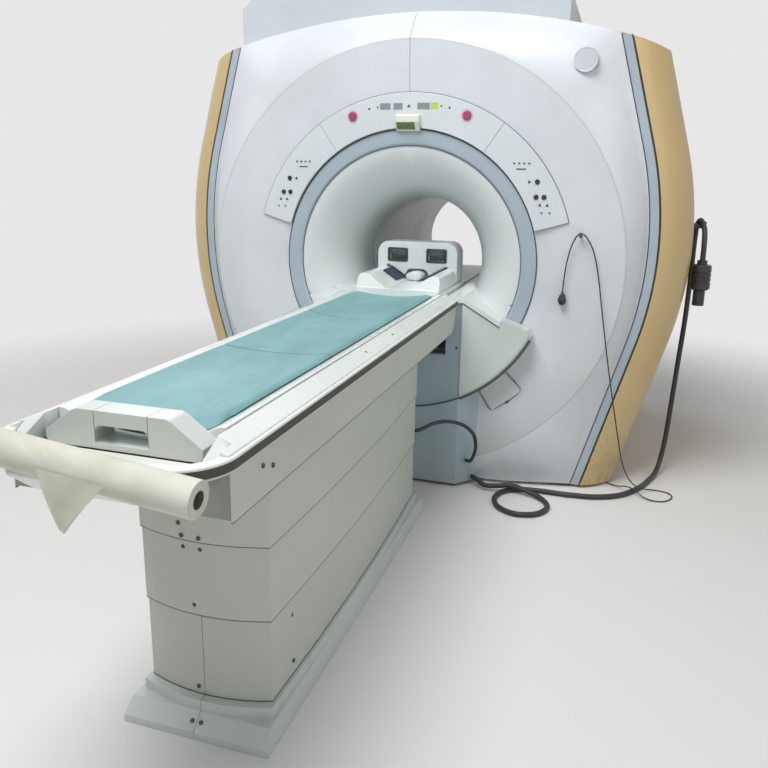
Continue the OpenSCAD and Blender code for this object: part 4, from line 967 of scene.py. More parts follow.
class MRI_OT_cords(bpy.types.Operator):
    """Lays the call cord, the coil cable and the feed hose, with the bulb and the plug"""

    bl_idname = "mri.cords"
    bl_label = "Cords"

    # Depth below its top and radius of each ring of the plug: neck, grip with three ribs, and collar.
    PLUG = [(0.018, 0.022), (0.020, 0.036), (0.026, 0.043), (0.052, 0.044), (0.054, 0.0415), (0.060, 0.0415),
            (0.062, 0.044), (0.072, 0.044), (0.074, 0.0415), (0.080, 0.0415), (0.082, 0.044), (0.092, 0.044),
            (0.094, 0.0415), (0.100, 0.0415), (0.102, 0.044), (0.128, 0.044), (0.136, 0.036), (0.140, 0.026)]
    PLUG_LONG, NECK_R, MOUTH_R = 0.21, 0.022, 0.026

    def execute(self, context):
        settings = context.scene.mri_cords
        black = rubbery("cord_rubber", (0.028, 0.028, 0.031), rough=0.48, grain=1200.0)
        glossy = moulded("plug_moulding", (0.022, 0.023, 0.026), rough=0.36, coat=0.15, grime=0.03)
        bulb = dressed("call_bulb", glossy, 0.0008, name="call_bulb_grip")
        plug = self.plug(glossy)
        x, y, z = CABLE_ROUTE[0]
        inside_plug = [at_ring(x, y, z - 100 + 20 * k) for k in range(5)]
        paths = [smooth_route(CALL_ROUTE, 6), inside_plug + smooth_route(CABLE_ROUTE, 6),
                 smooth_route(HOSE_ROUTE, 8)]
        cable = tube("coil_cable_line", paths[1], settings.cable_diameter / 2, 20)
        call = tube("call_cord_line", paths[0], settings.call_diameter / 2, 12)
        hose = tube("feed_hose_line", paths[2], settings.hose_diameter / 2, 16)
        for obj, node in ((call, "call_cord"), (cable, "coil_cable"), (hose, "feed_hose")):
            seated(painted(obj, black), "magnet", "cord_black", node)
        round(route_length(paths[0]), 3)
        round(route_length(paths[1]), 3)
        round(route_length(paths[2]), 3)
        return {"FINISHED"}

    def plug(self, material):
        """Ribbed grip, waisted collar and mouth of the hung connector, turned from one cylinder."""
        x, y, z = CABLE_ROUTE[0]
        top = at_ring(x, y, z - 0.3)
        obj = primitive("coil_plug_body", "cylinder", top - Vector((0, 0, self.PLUG_LONG / 2)), vertices=48,
                        radius=self.NECK_R, depth=self.PLUG_LONG)
        for depth, _ in self.PLUG:
            picked(obj)
            bpy.ops.mesh.bisect(plane_co=top - Vector((0, 0, depth)), plane_no=(0, 0, 1))
            edited(obj)
        radii = {round(depth, 4): radius for depth, radius in self.PLUG}
        for vertex in obj.data.vertices:
            spot = obj.matrix_world @ vertex.co
            depth = round(top.z - spot.z, 4)
            flat = Vector((spot.x - top.x, spot.y - top.y, 0))
            if flat.length > 1e-5:
                wanted = radii.get(depth, self.MOUTH_R if depth > 0.2 else self.NECK_R)
                spot = Vector((top.x, top.y, spot.z)) + flat.normalized() * wanted
                vertex.co = obj.matrix_world.inverted() @ spot
        inset(obj, (0.005, 0.0), (0.0005, -0.012), chooser=lambda face: face.normal.z < -0.9)
        softened(painted(obj, material), 0.0007, 2, 30.0)
        return seated(obj, "magnet", "cord_black", "cable_plug")


class MRI_OT_dock(bpy.types.Operator):
    """Dresses the dock chin with its dark bead, the dock front, the hatch with its outline and the hooks"""

    bl_idname = "mri.dock"
    bl_label = "Dock"

    # Depth and degrees below the bore's level of the points of the chin's bead.
    BEAD_R, BEAD = 688.5, [(-88, a) for a in range(27, 65, 2)] + [(-84, a) for a in range(66, 90, 2)]
    SHOULDER = ((301, 905.5), (360, 871), (420, 836), (474, 804))
    # Radius and degrees below the bore's level of the points of the hatch's outline and of its latch.
    HATCH = [(690, 44.4), (730, 44.4), (770, 44.4), (800, 44.4), (814, 45.1), (816.5, 46.5), (816.5, 48),
             (816.5, 50), (816.5, 52), (816.5, 54), (816.5, 55.6), (814, 57.0), (800, 57.7), (770, 57.7),
             (730, 57.7), (690, 57.7)]
    LATCH = [(818, 50.2), (818, 50.9), (818, 51.6)]

    def execute(self, context):
        for node, name, bevel, segments, material in (
                ("dock_chin", "dock_chin_shell", 0.003, 3,
                 moulded("chin_lacquer", (0.635, 0.695, 0.665), rough=0.33, grime=0.2)),
                # Painted shade: the dock front is a darker, bluer grey than the chin, for the table's shadow
                # on it.
                ("dock_front", "dock_front_plate", 0.0015, 2,
                 moulded("dock_front_paint", (0.39, 0.49, 0.54), rough=0.45, coat=0.08, grime=0.15)),
                ("dock_hatch", "dock_hatch_lid", 0.0012, 2,
                 moulded("hatch_lacquer", (0.65, 0.69, 0.68), rough=0.33, grime=0.2))):
            dressed(node, material, bevel, segments, name)
        lines = []
        for side in (-1, 1):
            # The dark bead along the chin's lower edge is partly a rubber edge and partly painted shadow under
            # the chin.
            bead = [round_bore(self.BEAD_R, y, -math.radians(a), side) for y, a in self.BEAD]
            lines.append(tube(f"chin_bead_{side + 1}", bead, 0.0064, 12))
            shoulder = [at_ring(side * x, -97.5, z) for x, z in self.SHOULDER]
            lines.append(tube(f"shoulder_line_{side + 1}", shoulder, 0.0028, 8))
        lines.append(tube("hatch_outline", [self.on_dish(r, a) for r, a in self.HATCH], 0.0022, 8))
        lines.append(tube("hatch_latch", [self.on_dish(r, a) for r, a in self.LATCH], 0.0055, 10))
        dark = rubbery("bead_rubber_and_shadow", (0.075, 0.095, 0.080), rough=0.5)
        grouped("dock_lines", lines, dark, "magnet", "key_black")
        hook = rubbery("hook_plastic", (0.05, 0.052, 0.055), rough=0.42)
        dressed("cord_hooks", hook, 0.001, 2, "cord_pegs")
        riser = moulded("riser_plastic", (0.10, 0.105, 0.11), rough=0.5, coat=0.0)
        dressed("cable_riser", riser, 0.0015, 2, "hose_riser")
        return {"FINISHED"}

    def on_dish(self, radius, degrees):
        """A point just proud of the dished cover."""
        depth = DISH_Y + (CREASE_Y - DISH_Y) / (DISH_R - RING_R + 2) * (radius - RING_R + 2) - 2.2
        return round_bore(radius, depth, -math.radians(degrees))


class MRI_OT_inside(bpy.types.Operator):
    """Dresses what the covers hide: coils, vessel, cold head, base frame and the table's lift"""

    bl_idname = "mri.inside"
    bl_label = "Inside"

    def execute(self, context):
        for node, bevel, material in (
                ("body_coil", 0.0, wound("body_coil_winding", (0.50, 0.30, 0.14), (0.72, 0.48, 0.26), 0.020)),
                ("gradient_coil", 0.0,
                 wound("gradient_winding", (0.17, 0.19, 0.21), (0.30, 0.33, 0.36), 0.014)),
                ("cryostat", 0.0,
                 brushed("vessel_steel", (0.56, 0.58, 0.61), rough=0.36, along=(40.0, 1.0, 40.0))),
                ("cold_head", 0.002, brushed("cold_head_metal", (0.50, 0.51, 0.53), rough=0.4)),
                ("base_frame", 0.002, powder("frame_paint", (0.30, 0.34, 0.38))),
                ("lift_base", 0.002, powder("lift_paint", (0.26, 0.28, 0.30))),
                ("lift_mast", 0.001,
                 brushed("mast_metal", (0.62, 0.63, 0.65), rough=0.28, along=(40.0, 40.0, 1.0))),
                ("drive_belt", 0.0008, rubbery("belt_rubber", (0.03, 0.03, 0.032)))):
            dressed(node, material, bevel)
        return {"FINISHED"}


class TableSettings(bpy.types.PropertyGroup):
    rail_colour: FloatVectorProperty(name="Rails", description="Colour of the table rails and the cradle",
                                     subtype="COLOR", default=(0.80, 0.84, 0.82))
    shroud_colour: FloatVectorProperty(name="Shrouds", description="Colour of the pedestal shrouds",
                                       subtype="COLOR", default=(0.585, 0.625, 0.560))
    pad_colour: FloatVectorProperty(name="Pad", description="Colour of the table pad", subtype="COLOR",
                                    default=(0.200, 0.425, 0.450))
    pad_puff: FloatProperty(name="Pad puff", description="How far the cloth pass may move a point of the pad",
                            default=0.006, unit="LENGTH")


def edged_paint(name, colour, edge, rough=0.42):
    """Plain satin paint on a folded sheet, with faint rub marks and a dark line of painted shadow along its
    lower edge.
    """
    p = Paint(name)
    rub = p.noise(6.0, 5.0, 0.65, stretch=(1.0, 1.0, 0.4), warp=0.5)
    # Painted shadow: a dark line along the sheet's lower edge, at the joint below it.
    line = p.axes()[2].fall(edge + 0.0024, edge + 0.0042)
    toned = p.mix(p.noise(1.6, 3.0, 0.5).step(0.3, 0.7), shade(colour, 0.95), colour)
    rubbed = p.mix(rub.step(0.62, 0.80) * 0.12, toned, shade(colour, 1.25))
    grain = p.bump(p.noise(800.0, 3.0, 0.6), 0.14, 0.0003)
    return p.finish(
        Base_Color=p.mix(line * 0.85, rubbed, (0.07, 0.08, 0.06)),
        Roughness=rough + rub.step(0.4, 0.8) * 0.12,
        Normal=p.bump(p.noise(3.0, 2.0, 0.5), 0.06, 0.003, grain))


class MRI_OT_pedestal(bpy.types.Operator):
    """Dresses the floor plinth, the three shrouds and their screws"""

    bl_idname = "mri.pedestal"
    bl_label = "Pedestal"

    # Each shroud's share of the colour, the lower ones a little darker as painted shade, and the height of its
    # lower edge.
    SHROUDS = (("upper_shroud", 1.0, 0.547), ("middle_shroud", 0.985, 0.333), ("lower_shroud", 0.965, 0.09))

    def execute(self, context):
        colour = tuple(context.scene.mri_table.shroud_colour)
        screw = brushed("screw_metal", (0.10, 0.10, 0.105), rough=0.4, metal=0.8)
        for node, share, edge in self.SHROUDS:
            # Painted shade: each lower shroud gets a darker copy of the one colour.
            sheet = edged_paint(f"{node}_paint", shade(colour, share), edge)
            small_parts(dressed(node, sheet, 0.0007, 2, f"{node}_sheet"), screw)
        plinth = moulded("plinth_plastic", (0.66, 0.72, 0.70), rough=0.33, grime=0.06, tone=0.02)
        dressed("table_plinth", plinth, 0.003, 3, "floor_plinth")
        dressed("fixed_screws", screw, name="screws_below")
        dressed("top_screws", screw, name="screws_above")
        return {"FINISHED"}


class MRI_OT_table_top(bpy.types.Operator):
    """Dresses the frame, the side skins, the bumpers, the caps and the apron of the table top"""

    bl_idname = "mri.table_top"
    bl_label = "Table top"

    SKIN_EDGE = 0.779
    # Offset, height, slope and places of the plugs along the right rail, and their radius and depth.
    PLUG_X, PLUG_Z, PLUG_SLOPE, PLUG_PLACES = 246.5, 937.9, math.atan2(23, 52), (-1290, -1010)
    PLUG_R, PLUG_DEEP = 0.0042, 0.0016

    def execute(self, context):
        settings = context.scene.mri_table
        rail, skin = tuple(settings.rail_colour), tuple(settings.shroud_colour)
        for node, name, bevel, segments, material in (
                ("table_frame", "table_rails", 0.0025, 3,
                 moulded("rail_lacquer", rail, rough=0.27, coat=0.35, grime=0.05, tone=0.02,
                         over=self.painted_shade_below)),
                ("rail_panels", "side_skins", 0.0008, 2,
                 edged_paint("side_skin_paint", skin, self.SKIN_EDGE, 0.38)),
                ("bumpers", "bumper_strips", 0.004, 3, self.bumper_paint(rail, skin)),
                ("rail_caps", "rail_end_caps", 0.002, 3,
                 moulded("cap_plastic", (0.68, 0.72, 0.69), rough=0.36, coat=0.15)),
                ("foot_apron", "foot_apron_shell", 0.003, 3,
                 moulded("apron_plastic", (0.80, 0.82, 0.76), rough=0.33, coat=0.2))):
            dressed(node, material, bevel, segments, name)
        plugs = []
        for y in self.PLUG_PLACES:
            plug = primitive("rail_plug", "cylinder", at_ring(self.PLUG_X, y, self.PLUG_Z), vertices=20,
                             radius=self.PLUG_R, depth=self.PLUG_DEEP, rotation=(0, self.PLUG_SLOPE, 0))
            plugs.append(baked_place(softened(plug, 0.0005)))
        grouped("rail_plugs", plugs, rubbery("plug_rubber", (0.12, 0.13, 0.12)), "table_top", "key_black")
        return {"FINISHED"}

    def painted_shade_below(self, p, toned):
        """Painted shade: the frame is darker under the rails, and most at the foot end."""
        _, y, z = p.axes()
        at_foot = y.fall(FRONT - 2.02, FRONT - 2.0)
        return p.mix(z.fall(0.890, 0.893) * (at_foot * 0.6 + 0.25), toned, (0.20, 0.21, 0.17))

    def bumper_paint(self, rail, skin):
        """Dark rubber between the rail's lip and the skin's upper edge."""
        p = Paint("bumper_rubber")
        z = p.axes()[2]
        scuff = p.noise(40.0, 5.0, 0.7, warp=0.8)
        dark = p.mix(scuff.step(0.6, 0.8) * 0.4, (0.055, 0.062, 0.045), (0.17, 0.18, 0.15))
        middle = z.band(0.8985, 0.8995, 0.9185, 0.9195)
        return p.finish(
            Base_Color=p.mix(middle, p.mix(z.step(0.905, 0.912), skin, rail), dark),
            Roughness=0.40 + middle * 0.18 + scuff * 0.06,
            Normal=p.bump(p.noise(500.0, 3.0, 0.6), 0.15, 0.0003))


class MRI_OT_cradle(bpy.types.Operator):
    """Dresses the cradle and its handle and makes the soft pad"""

    bl_idname = "mri.cradle"
    bl_label = "Cradle and pad"

    # The board's hollow: its lowest height, and its radius from half its width and its depth.
    BED, BOARD_R = 0.905, (200 * 200 + 45 * 45) / 90 * MM
    # Thickness in the middle, crown, rise to the sides, and how long the foot and head end are rounded.
    THICK, CROWN, RISE, FOOT_END, HEAD_END = 0.0275, 0.004, 0.0235 * 0.92, 0.05, 0.04
    # Rows of the pad along its length, and how deep the last rows curve in.
    ROWS, CURVED, CURVE = 46, 4, 0.030
    # Depth and bow of the two seams, and the width and depth of their furrow.
    SEAMS, FURROW, FURROW_DEEP = ((-0.80, 0.03), (-1.41, -0.02)), 0.014, 0.0042
    REACH = 0.1968

    def execute(self, context):
        settings = context.scene.mri_table
        white = moulded("cradle_gelcoat", tuple(settings.rail_colour), rough=0.24, coat=0.4, grime=0.03,
                        tone=0.02)
        dressed("cradle", white, 0.002, 3, "cradle_board")
        cream = moulded("handle_plastic", (0.66, 0.70, 0.67), rough=0.3, grime=0.03, over=self.gripped)
        dressed("cradle_handle", cream, 0.008, 5, "cradle_pull")
        self.pad(settings)
        return {"FINISHED"}

    def gripped(self, p, toned):
        """A thin joint beside each end of the grip bar, and painted shade inside the opening under it."""
        x, _, z = p.axes()
        wide = x.size()
        joint = (wide - 0.067).size().fall(0.0006, 0.0014) * z.step(0.905, 0.907)
        # Painted shade: the opening under the grip bar is painted nearly black.
        hollow = wide.fall(0.0570, 0.0580) * z.band(0.9065, 0.9075, 0.9436, 0.9446)
        return p.mix((joint * 0.8 + hollow * 0.86).least(0.9), toned, (0.07, 0.08, 0.07))

    def board_z(self, x):
        return self.BED + self.BOARD_R - math.sqrt(self.BOARD_R ** 2 - x * x)

    def pad(self, settings):
        """The long pad: a crowned closed form, puffed by a short cloth pass, with two sewn seams."""
        low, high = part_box("pad")
        half = (high[0] - low[0]) / 2 - 0.003
        start, end = low[1] + 0.004, high[1]

        def top_z(x, y):
            crown = self.CROWN * math.cos(math.pi * x / (2.6 * half))
            near_end = min(1.0, (y - start) / self.FOOT_END, (end - y) / self.HEAD_END)
            body = self.THICK + self.RISE * (x / half) ** 2
            rounded = (body + crown) * (0.72 + 0.28 * max(0.0, near_end) ** 0.5)
            return self.BED + max(self.board_z(x) - self.BED + 0.006, rounded)

        rings = []
        for k in range(self.ROWS + 1):
            y = start + (end - start) * k / self.ROWS
            curved = max(0, k - self.ROWS + self.CURVED) / self.CURVED
            across = [half * (i - 8) / 8 for i in range(17)]
            spots = [(x, top_z(x, y)) for x in across]
            spots += [(x * 0.99, self.board_z(x * 0.99) + 0.0016) for x in across[-2:0:-1]]
            rings.append([Vector((x, y - self.CURVE * (1 - (x / half) ** 2) * curved, z)) for x, z in spots])
        pad = lofted("table_pad", rings, capped=(True, True))
        modified(pad, "REMESH", mode="VOXEL", voxel_size=0.006)
        self.puffed(pad, settings.pad_puff)
        modified(pad, "SMOOTH", factor=0.5, iterations=3)
        self.seams(pad, half)
        painted(smooth(pad, 60.0), self.pad_cloth(tuple(settings.pad_colour), half))
        seated(pad, "cradle", "pad_teal", "pad")

    def puffed(self, pad, cap):
        """A short cloth pass under pressure, each point held near its start and above the board."""
        before = [vert.co.copy() for vert in pad.data.vertices]
        active(pad)
        cloth = pad.modifiers.new("Cloth", "CLOTH")
        cloth.settings.use_pressure = True
        cloth.settings.uniform_pressure_force = 4.0
        cloth.settings.effector_weights.gravity = 0.0
        cloth.settings.quality = 4
        cloth.settings.tension_stiffness = 30
        scene = bpy.context.scene
        for step in range(1, 11):
            scene.frame_set(step)
        bpy.ops.object.modifier_apply(modifier=cloth.name)
        scene.frame_set(1)
        for vert, old in zip(pad.data.vertices, before):
            move = vert.co - old
            if move.length > cap:
                move *= cap / move.length
            vert.co = old + move
            vert.co.z = max(vert.co.z, self.board_z(max(-0.2, min(0.2, vert.co.x))) + 0.001)
            vert.co.x = max(-self.REACH, min(self.REACH, vert.co.x))

    def seams(self, pad, half):
        """Two sewn seams that curve across the pad."""
        for vert in pad.data.vertices:
            for seam_y, bow in self.SEAMS:
                gap = abs(vert.co.y - (FRONT + seam_y + bow * (vert.co.x / half) ** 2))
                if gap < self.FURROW and vert.normal.z > 0.3:
                    vert.co.z -= self.FURROW_DEEP * (1 - gap / self.FURROW) ** 2

    def pad_cloth(self, colour, half):
        """Coated teal cloth: fine grain, soft wrinkles, seam stitches and pale wear down the middle."""
        p = Paint("pad_cloth")
        x, y, _ = p.axes()
        weave = (x * 2400.0).wave() * (y * 2400.0).wave()
        leather = p.node("ShaderNodeTexVoronoi", None, {"Vector": p.place, "Scale": 520.0})["Distance"]
        crease = p.noise(9.0, 5.0, 0.62, stretch=(1.0, 0.35, 1.0), warp=0.8)
        wear = (x * (1.0 / half)).size().fall(0.3, 0.95) * p.noise(3.0, 4.0, 0.6).step(0.35, 0.7)
        pale = shade(colour, 1.22, 0.02)
        sewn = p.mix(wear * 0.45, p.mix(crease.step(0.3, 0.72), shade(colour, 0.80), colour), pale)
        squared = x * x * (1.0 / (half * half))
        for seam_y, bow in self.SEAMS:
            gap = (y - (squared * bow + (FRONT + seam_y))).size()
            sewn = p.mix(gap.fall(0.0026, 0.0062) * 0.9, sewn, shade(colour, 0.42))
            thread = (gap - 0.007).size().fall(0.0005, 0.0012) * (x * 900.0).wave().step(-0.1, 0.2)
            sewn = p.mix(thread * 0.5, sewn, pale)
        grain = p.bump(leather + weave * 0.15, 0.22, 0.0004)
        return p.finish(Base_Color=sewn, Roughness=0.44 + crease * 0.14 - wear * 0.06, Sheen_Weight=0.12,
                        Normal=p.bump(crease, 0.35, 0.004, grain))


class MRI_OT_head_coil(bpy.types.Operator):
    """Dresses the head coil, its tray and window rims, and makes the cushions and the neck roll"""

    bl_idname = "mri.head_coil"
    bl_label = "Head coil"

    # Top of the tray, depth of the coil's face, and offset, height and corner radius of its two windows.
    TRAY_Z, FACE_Y = 0.962, FRONT + 0.190
    WINDOW_X, WINDOW_Z, CORNER = 0.100, TRAY_Z + 0.123, 0.009
    # Half width, half height and depth from the face of each ring of a window's rim.
    RIM = [(0.053, 0.035, 0.0004), (0.053, 0.035, -0.0022), (0.0515, 0.0335, -0.0034),
           (0.0450, 0.0272, -0.0034), (0.0440, 0.0262, -0.0022), (0.0440, 0.0262, 0.013),
           (0.0468, 0.0288, 0.013), (0.0468, 0.0288, 0.0004)]
    # Slope of the pods: where it starts, how far up it the strips' middle lies, and how far off it.
    SLOPE, SLOPE_X, ALONG, OFF = math.atan2(57, 88), 0.058, 0.055, 0.0048

    def execute(self, context):
        white = moulded("coil_shell", (0.71, 0.77, 0.78), rough=0.32)
        dressed("head_coil", white, 0.0035, 4, "head_coil_shell")
        pale = moulded("coil_tray_plastic", (0.80, 0.85, 0.84), rough=0.28, coat=0.3)
        dressed("coil_tray", pale, 0.0035, 4, "coil_tray_pods")
        dark = moulded("window_rim", (0.030, 0.042, 0.046), rough=0.4, coat=0.1, grime=0.02)
        rims = [lofted("coil_rim", [self.loop(side, *ring) for ring in self.RIM]) for side in (-1, 1)]
        grouped("coil_window_rims", rims, dark, "cradle", "key_black", angle=32.0)
        grouped("coil_window_panes", [self.pane(side) for side in (-1, 1)], self.mirror_reflection_paint(), "cradle",
                "key_black", angle=32.0)
        self.cushions()
        return {"FINISHED"}

    def loop(self, side, half_x, half_z, deep):
        """A rounded rectangle round one window of the coil."""
        spots = []
        for turn, (sx, sz) in enumerate(((1, 1), (-1, 1), (-1, -1), (1, -1))):
            for k in range(6):
                a = math.radians(90 * turn + 18 * k)
                spots.append(Vector((
                    side * self.WINDOW_X + sx * (half_x - self.CORNER) + self.CORNER * math.cos(a),
                    self.FACE_Y + deep,
                    self.WINDOW_Z + sz * (half_z - self.CORNER) + self.CORNER * math.sin(a))))
        return spots

    def pane(self, side):
        """The slanted mirror seen through a window, with the bar that holds it."""
        x = side * self.WINDOW_X
        mirror = primitive("coil_mirror", "cube", (x, self.FACE_Y + 0.034, self.WINDOW_Z), size=1.0,
                           rotation=(math.radians(28), 0, 0))
        mirror.scale = (0.092, 0.003, 0.066)
        bar = primitive("coil_bar", "cylinder", (x, self.FACE_Y + 0.0235, self.WINDOW_Z + 0.014), vertices=16,
                        radius=0.0042, depth=0.092, rotation=(0, math.pi / 2, 0))
        return joined("coil_view", [softened(baked_place(mirror), 0.001), baked_place(bar)])

    def mirror_reflection_paint(self):
        # Painted reflection: the mirror is a mottled grey-green for what it shows; its bar shares the paint.
        p = Paint("mirror_painted_reflection")
        fine = p.noise(110.0, 5.0, 0.65, warp=0.5)
        return p.finish(Base_Color=p.mix(fine.step(0.35, 0.65), (0.16, 0.21, 0.20), (0.46, 0.53, 0.51)),
                        Roughness=0.3 + fine * 0.15)

    def cushions(self):
        """Navy strips on the slopes of the pods and a pale neck roll, each a puffed closed form."""
        strips = []
        rise, run = math.sin(self.SLOPE), math.cos(self.SLOPE)
        for side in (-1, 1):
            middle = (side * (self.SLOPE_X + self.ALONG * run - self.OFF * rise), FRONT + 0.171,
                      self.TRAY_Z + self.ALONG * rise + self.OFF * run)
            strip = primitive("pod_pad", "cube", middle, size=1.0, rotation=(0, -side * self.SLOPE, 0))
            strip.scale = (0.084, 0.214, 0.0086)
            modified(baked_place(strip), "REMESH", mode="VOXEL", voxel_size=0.0032)
            modified(strip, "SMOOTH", factor=0.6, iterations=3)
            strips.append(smooth(strip, 60.0))
        navy = self.cloth("cushion_cloth", (0.016, 0.022, 0.055), 0.62, 0.04)
        pads = grouped("pod_pads", strips, navy, "cradle", "cushion_blue", "coil_cushion")
        roll = primitive("neck_roll", "cylinder", (0, self.FACE_Y, self.TRAY_Z + 0.023), vertices=32,
                         radius=0.0215, depth=0.116, rotation=(math.pi / 2, 0, 0))
        roll.scale = (1.95, 1.0, 1.0)
        baked_place(roll)
        inset(roll, (0.006, 0.003), chooser=lambda face: abs(face.normal.y) > 0.9)
        modified(roll, "BEVEL", width=0.006, segments=3)
        for vert in roll.data.vertices:
            vert.co.z = max(vert.co.z, self.TRAY_Z + 0.0012)
        pale = self.cloth("neck_roll_cloth", (0.60, 0.66, 0.66), 0.55, 0.2)
        seated(painted(smooth(roll, 50.0), pale), "cradle", "cushion_blue")

    def cloth(self, name, colour, rough, sheen):
        p = Paint(name)
        x, y, _ = p.axes()
        weave = (x * 3000.0).wave() * (y * 3000.0).wave()
        fold = p.noise(22.0, 5.0, 0.6, warp=0.6)
        fluff = p.noise(300.0, 3.0, 0.6)
        return p.finish(
            Base_Color=p.mix(fold.step(0.35, 0.7) * 0.6 + fluff * 0.15, colour, shade(colour, 1.35, 0.02)),
            Roughness=rough + fluff * 0.12, Sheen_Weight=sheen,
            Normal=p.bump(fold, 0.4, 0.003, p.bump(weave + fluff * 0.5, 0.25, 0.0004)))


class MRI_OT_paper(bpy.types.Operator):
    """Dresses the paper roll with its wound end, hangs the torn tail and dresses the holder"""

    bl_idname = "mri.paper"
    bl_label = "Paper roll"

    # How far the roll dips to the right, and its middle.
    TILT, MIDDLE = math.radians(5.9), (0.0, FRONT - 2.348, 0.935)
    # Radius between core and paper, the share by which the core shrinks, and how much paper is used.
    CORE_R, CORE_LESS, USED = 0.030, 0.18, 0.011
    # Left and right side of the tail at the roll and at its torn point, its lowest height, and its rows.
    TAIL_TOP, TAIL_POINT, TAIL_LOW, WIDE, TALL = (-0.022, 0.130), (0.020, 0.034), 0.8125, 15, 13

    def execute(self, context):
        paper = self.paper_paint()
        self.used_down(dressed("paper_roll", paper, 0.0012, 2, "paper_roll_wound"))
        self.tail(paper)
        metal = brushed("holder_metal", (0.42, 0.44, 0.45), rough=0.4)
        dressed("roll_holder", metal, 0.001, 2, "roll_holder_arm")
        return {"FINISHED"}

    def used_down(self, roll):
        """The roll is partly used: its paper and core are a little thinner than the full roll's."""
        axis = Vector((math.cos(self.TILT), 0.0, -math.sin(self.TILT)))
        for vert in roll.data.vertices:
            out = vert.co - Vector(self.MIDDLE)
            out -= axis * out.dot(axis)
            vert.co += out * (-self.CORE_LESS if out.length < self.CORE_R else -self.USED / out.length)

    def paper_paint(self):
        """Crepe paper: spiral edges on the ends, faint wrapped joints along the roll, fine crepe grain and a
        near-black inside to the core, partly its brown card and partly painted shade.
        """
        p = Paint("crepe_paper")
        centred = p.moved(offset=tuple(-c for c in self.MIDDLE))
        turned = p.moved(turn=(0, -self.TILT, 0), place=centred)
        x, y, z = p.axes(turned)
        radius = (y * y + z * z).power(0.5)
        layers = (radius * (math.tau / 0.0011)).wave() * 0.5 + 0.5
        at_end = x.size().step(0.2975, 0.2985)
        crepe = p.noise(260.0, 4.0, 0.65, stretch=(0.25, 1.0, 1.0), place=turned)
        rumple = p.noise(10.0, 5.0, 0.62, stretch=(0.5, 1.0, 1.0), place=turned, warp=0.5)
        body = p.mix(rumple.step(0.3, 0.75), (0.60, 0.60, 0.50), (0.74, 0.74, 0.66))
        ended = p.mix(at_end * layers * 0.35, body, (0.50, 0.50, 0.42))
        return p.finish(
            # Inside the core: near-black, partly the brown card and partly painted shade.
            Base_Color=p.mix(radius.fall(0.0176, 0.0182) * 0.85, ended, (0.07, 0.06, 0.045)),
            Roughness=0.78 + crepe * 0.12,
            Normal=p.bump(rumple, 0.35, 0.004, p.bump(crepe + layers * at_end, 0.35, 0.0006)))

    def tail(self, paper):
        """The loose tail of paper: one curved sheet that leaves the roll and hangs to a torn point."""
        spots = []
        for k in range(self.TALL):
            drop = k / (self.TALL - 1)
            left, right = (top + (point - top) * drop for top, point in zip(self.TAIL_TOP, self.TAIL_POINT))
            row = []
            for i in range(self.WIDE):
                t = i / (self.WIDE - 1)
                x = left + (right - left) * t
                top = self.MIDDLE[2] - x * math.tan(self.TILT)
                z = top - (top - self.TAIL_LOW - 0.006 * abs(t - 0.7)) * drop
                wave = math.sin(drop * 2.6) * (1.0 + math.cos(t * 5.0 + drop * 2.0))
                y = self.MIDDLE[1] - 0.0378 - 0.0030 * wave
                row.append(Vector((x, y, z)))
            spots.append(row)
        sheet = lofted("paper_tail_sheet", spots, closed=False)
        modified(sheet, "SOLIDIFY", thickness=0.0005, offset=0.0)
        modified(sheet, "SUBSURF", levels=2, render_levels=2)
        seated(painted(smooth(sheet, 60.0), paper), "table_top", "paper", "paper_tail")


class StageSettings(bpy.types.PropertyGroup):
    floor_colour: FloatVectorProperty(name="Floor", description="Colour of the studio floor", subtype="COLOR",
                                      default=(0.80, 0.80, 0.79))
    key_power: FloatProperty(name="Key lamp", description="Power of the large overhead lamp", default=280.0,
                             unit="POWER")
    fill_power: FloatProperty(name="Fill lamp", description="Power of the lamps beside the camera and behind",
                              default=42.0, unit="POWER")
    world_level: FloatProperty(name="World", description="Strength of the even light from all round",
                               default=0.25)
    back_level: FloatProperty(name="Back", description="Brightness of the plain back that the camera sees",
                              default=0.80)


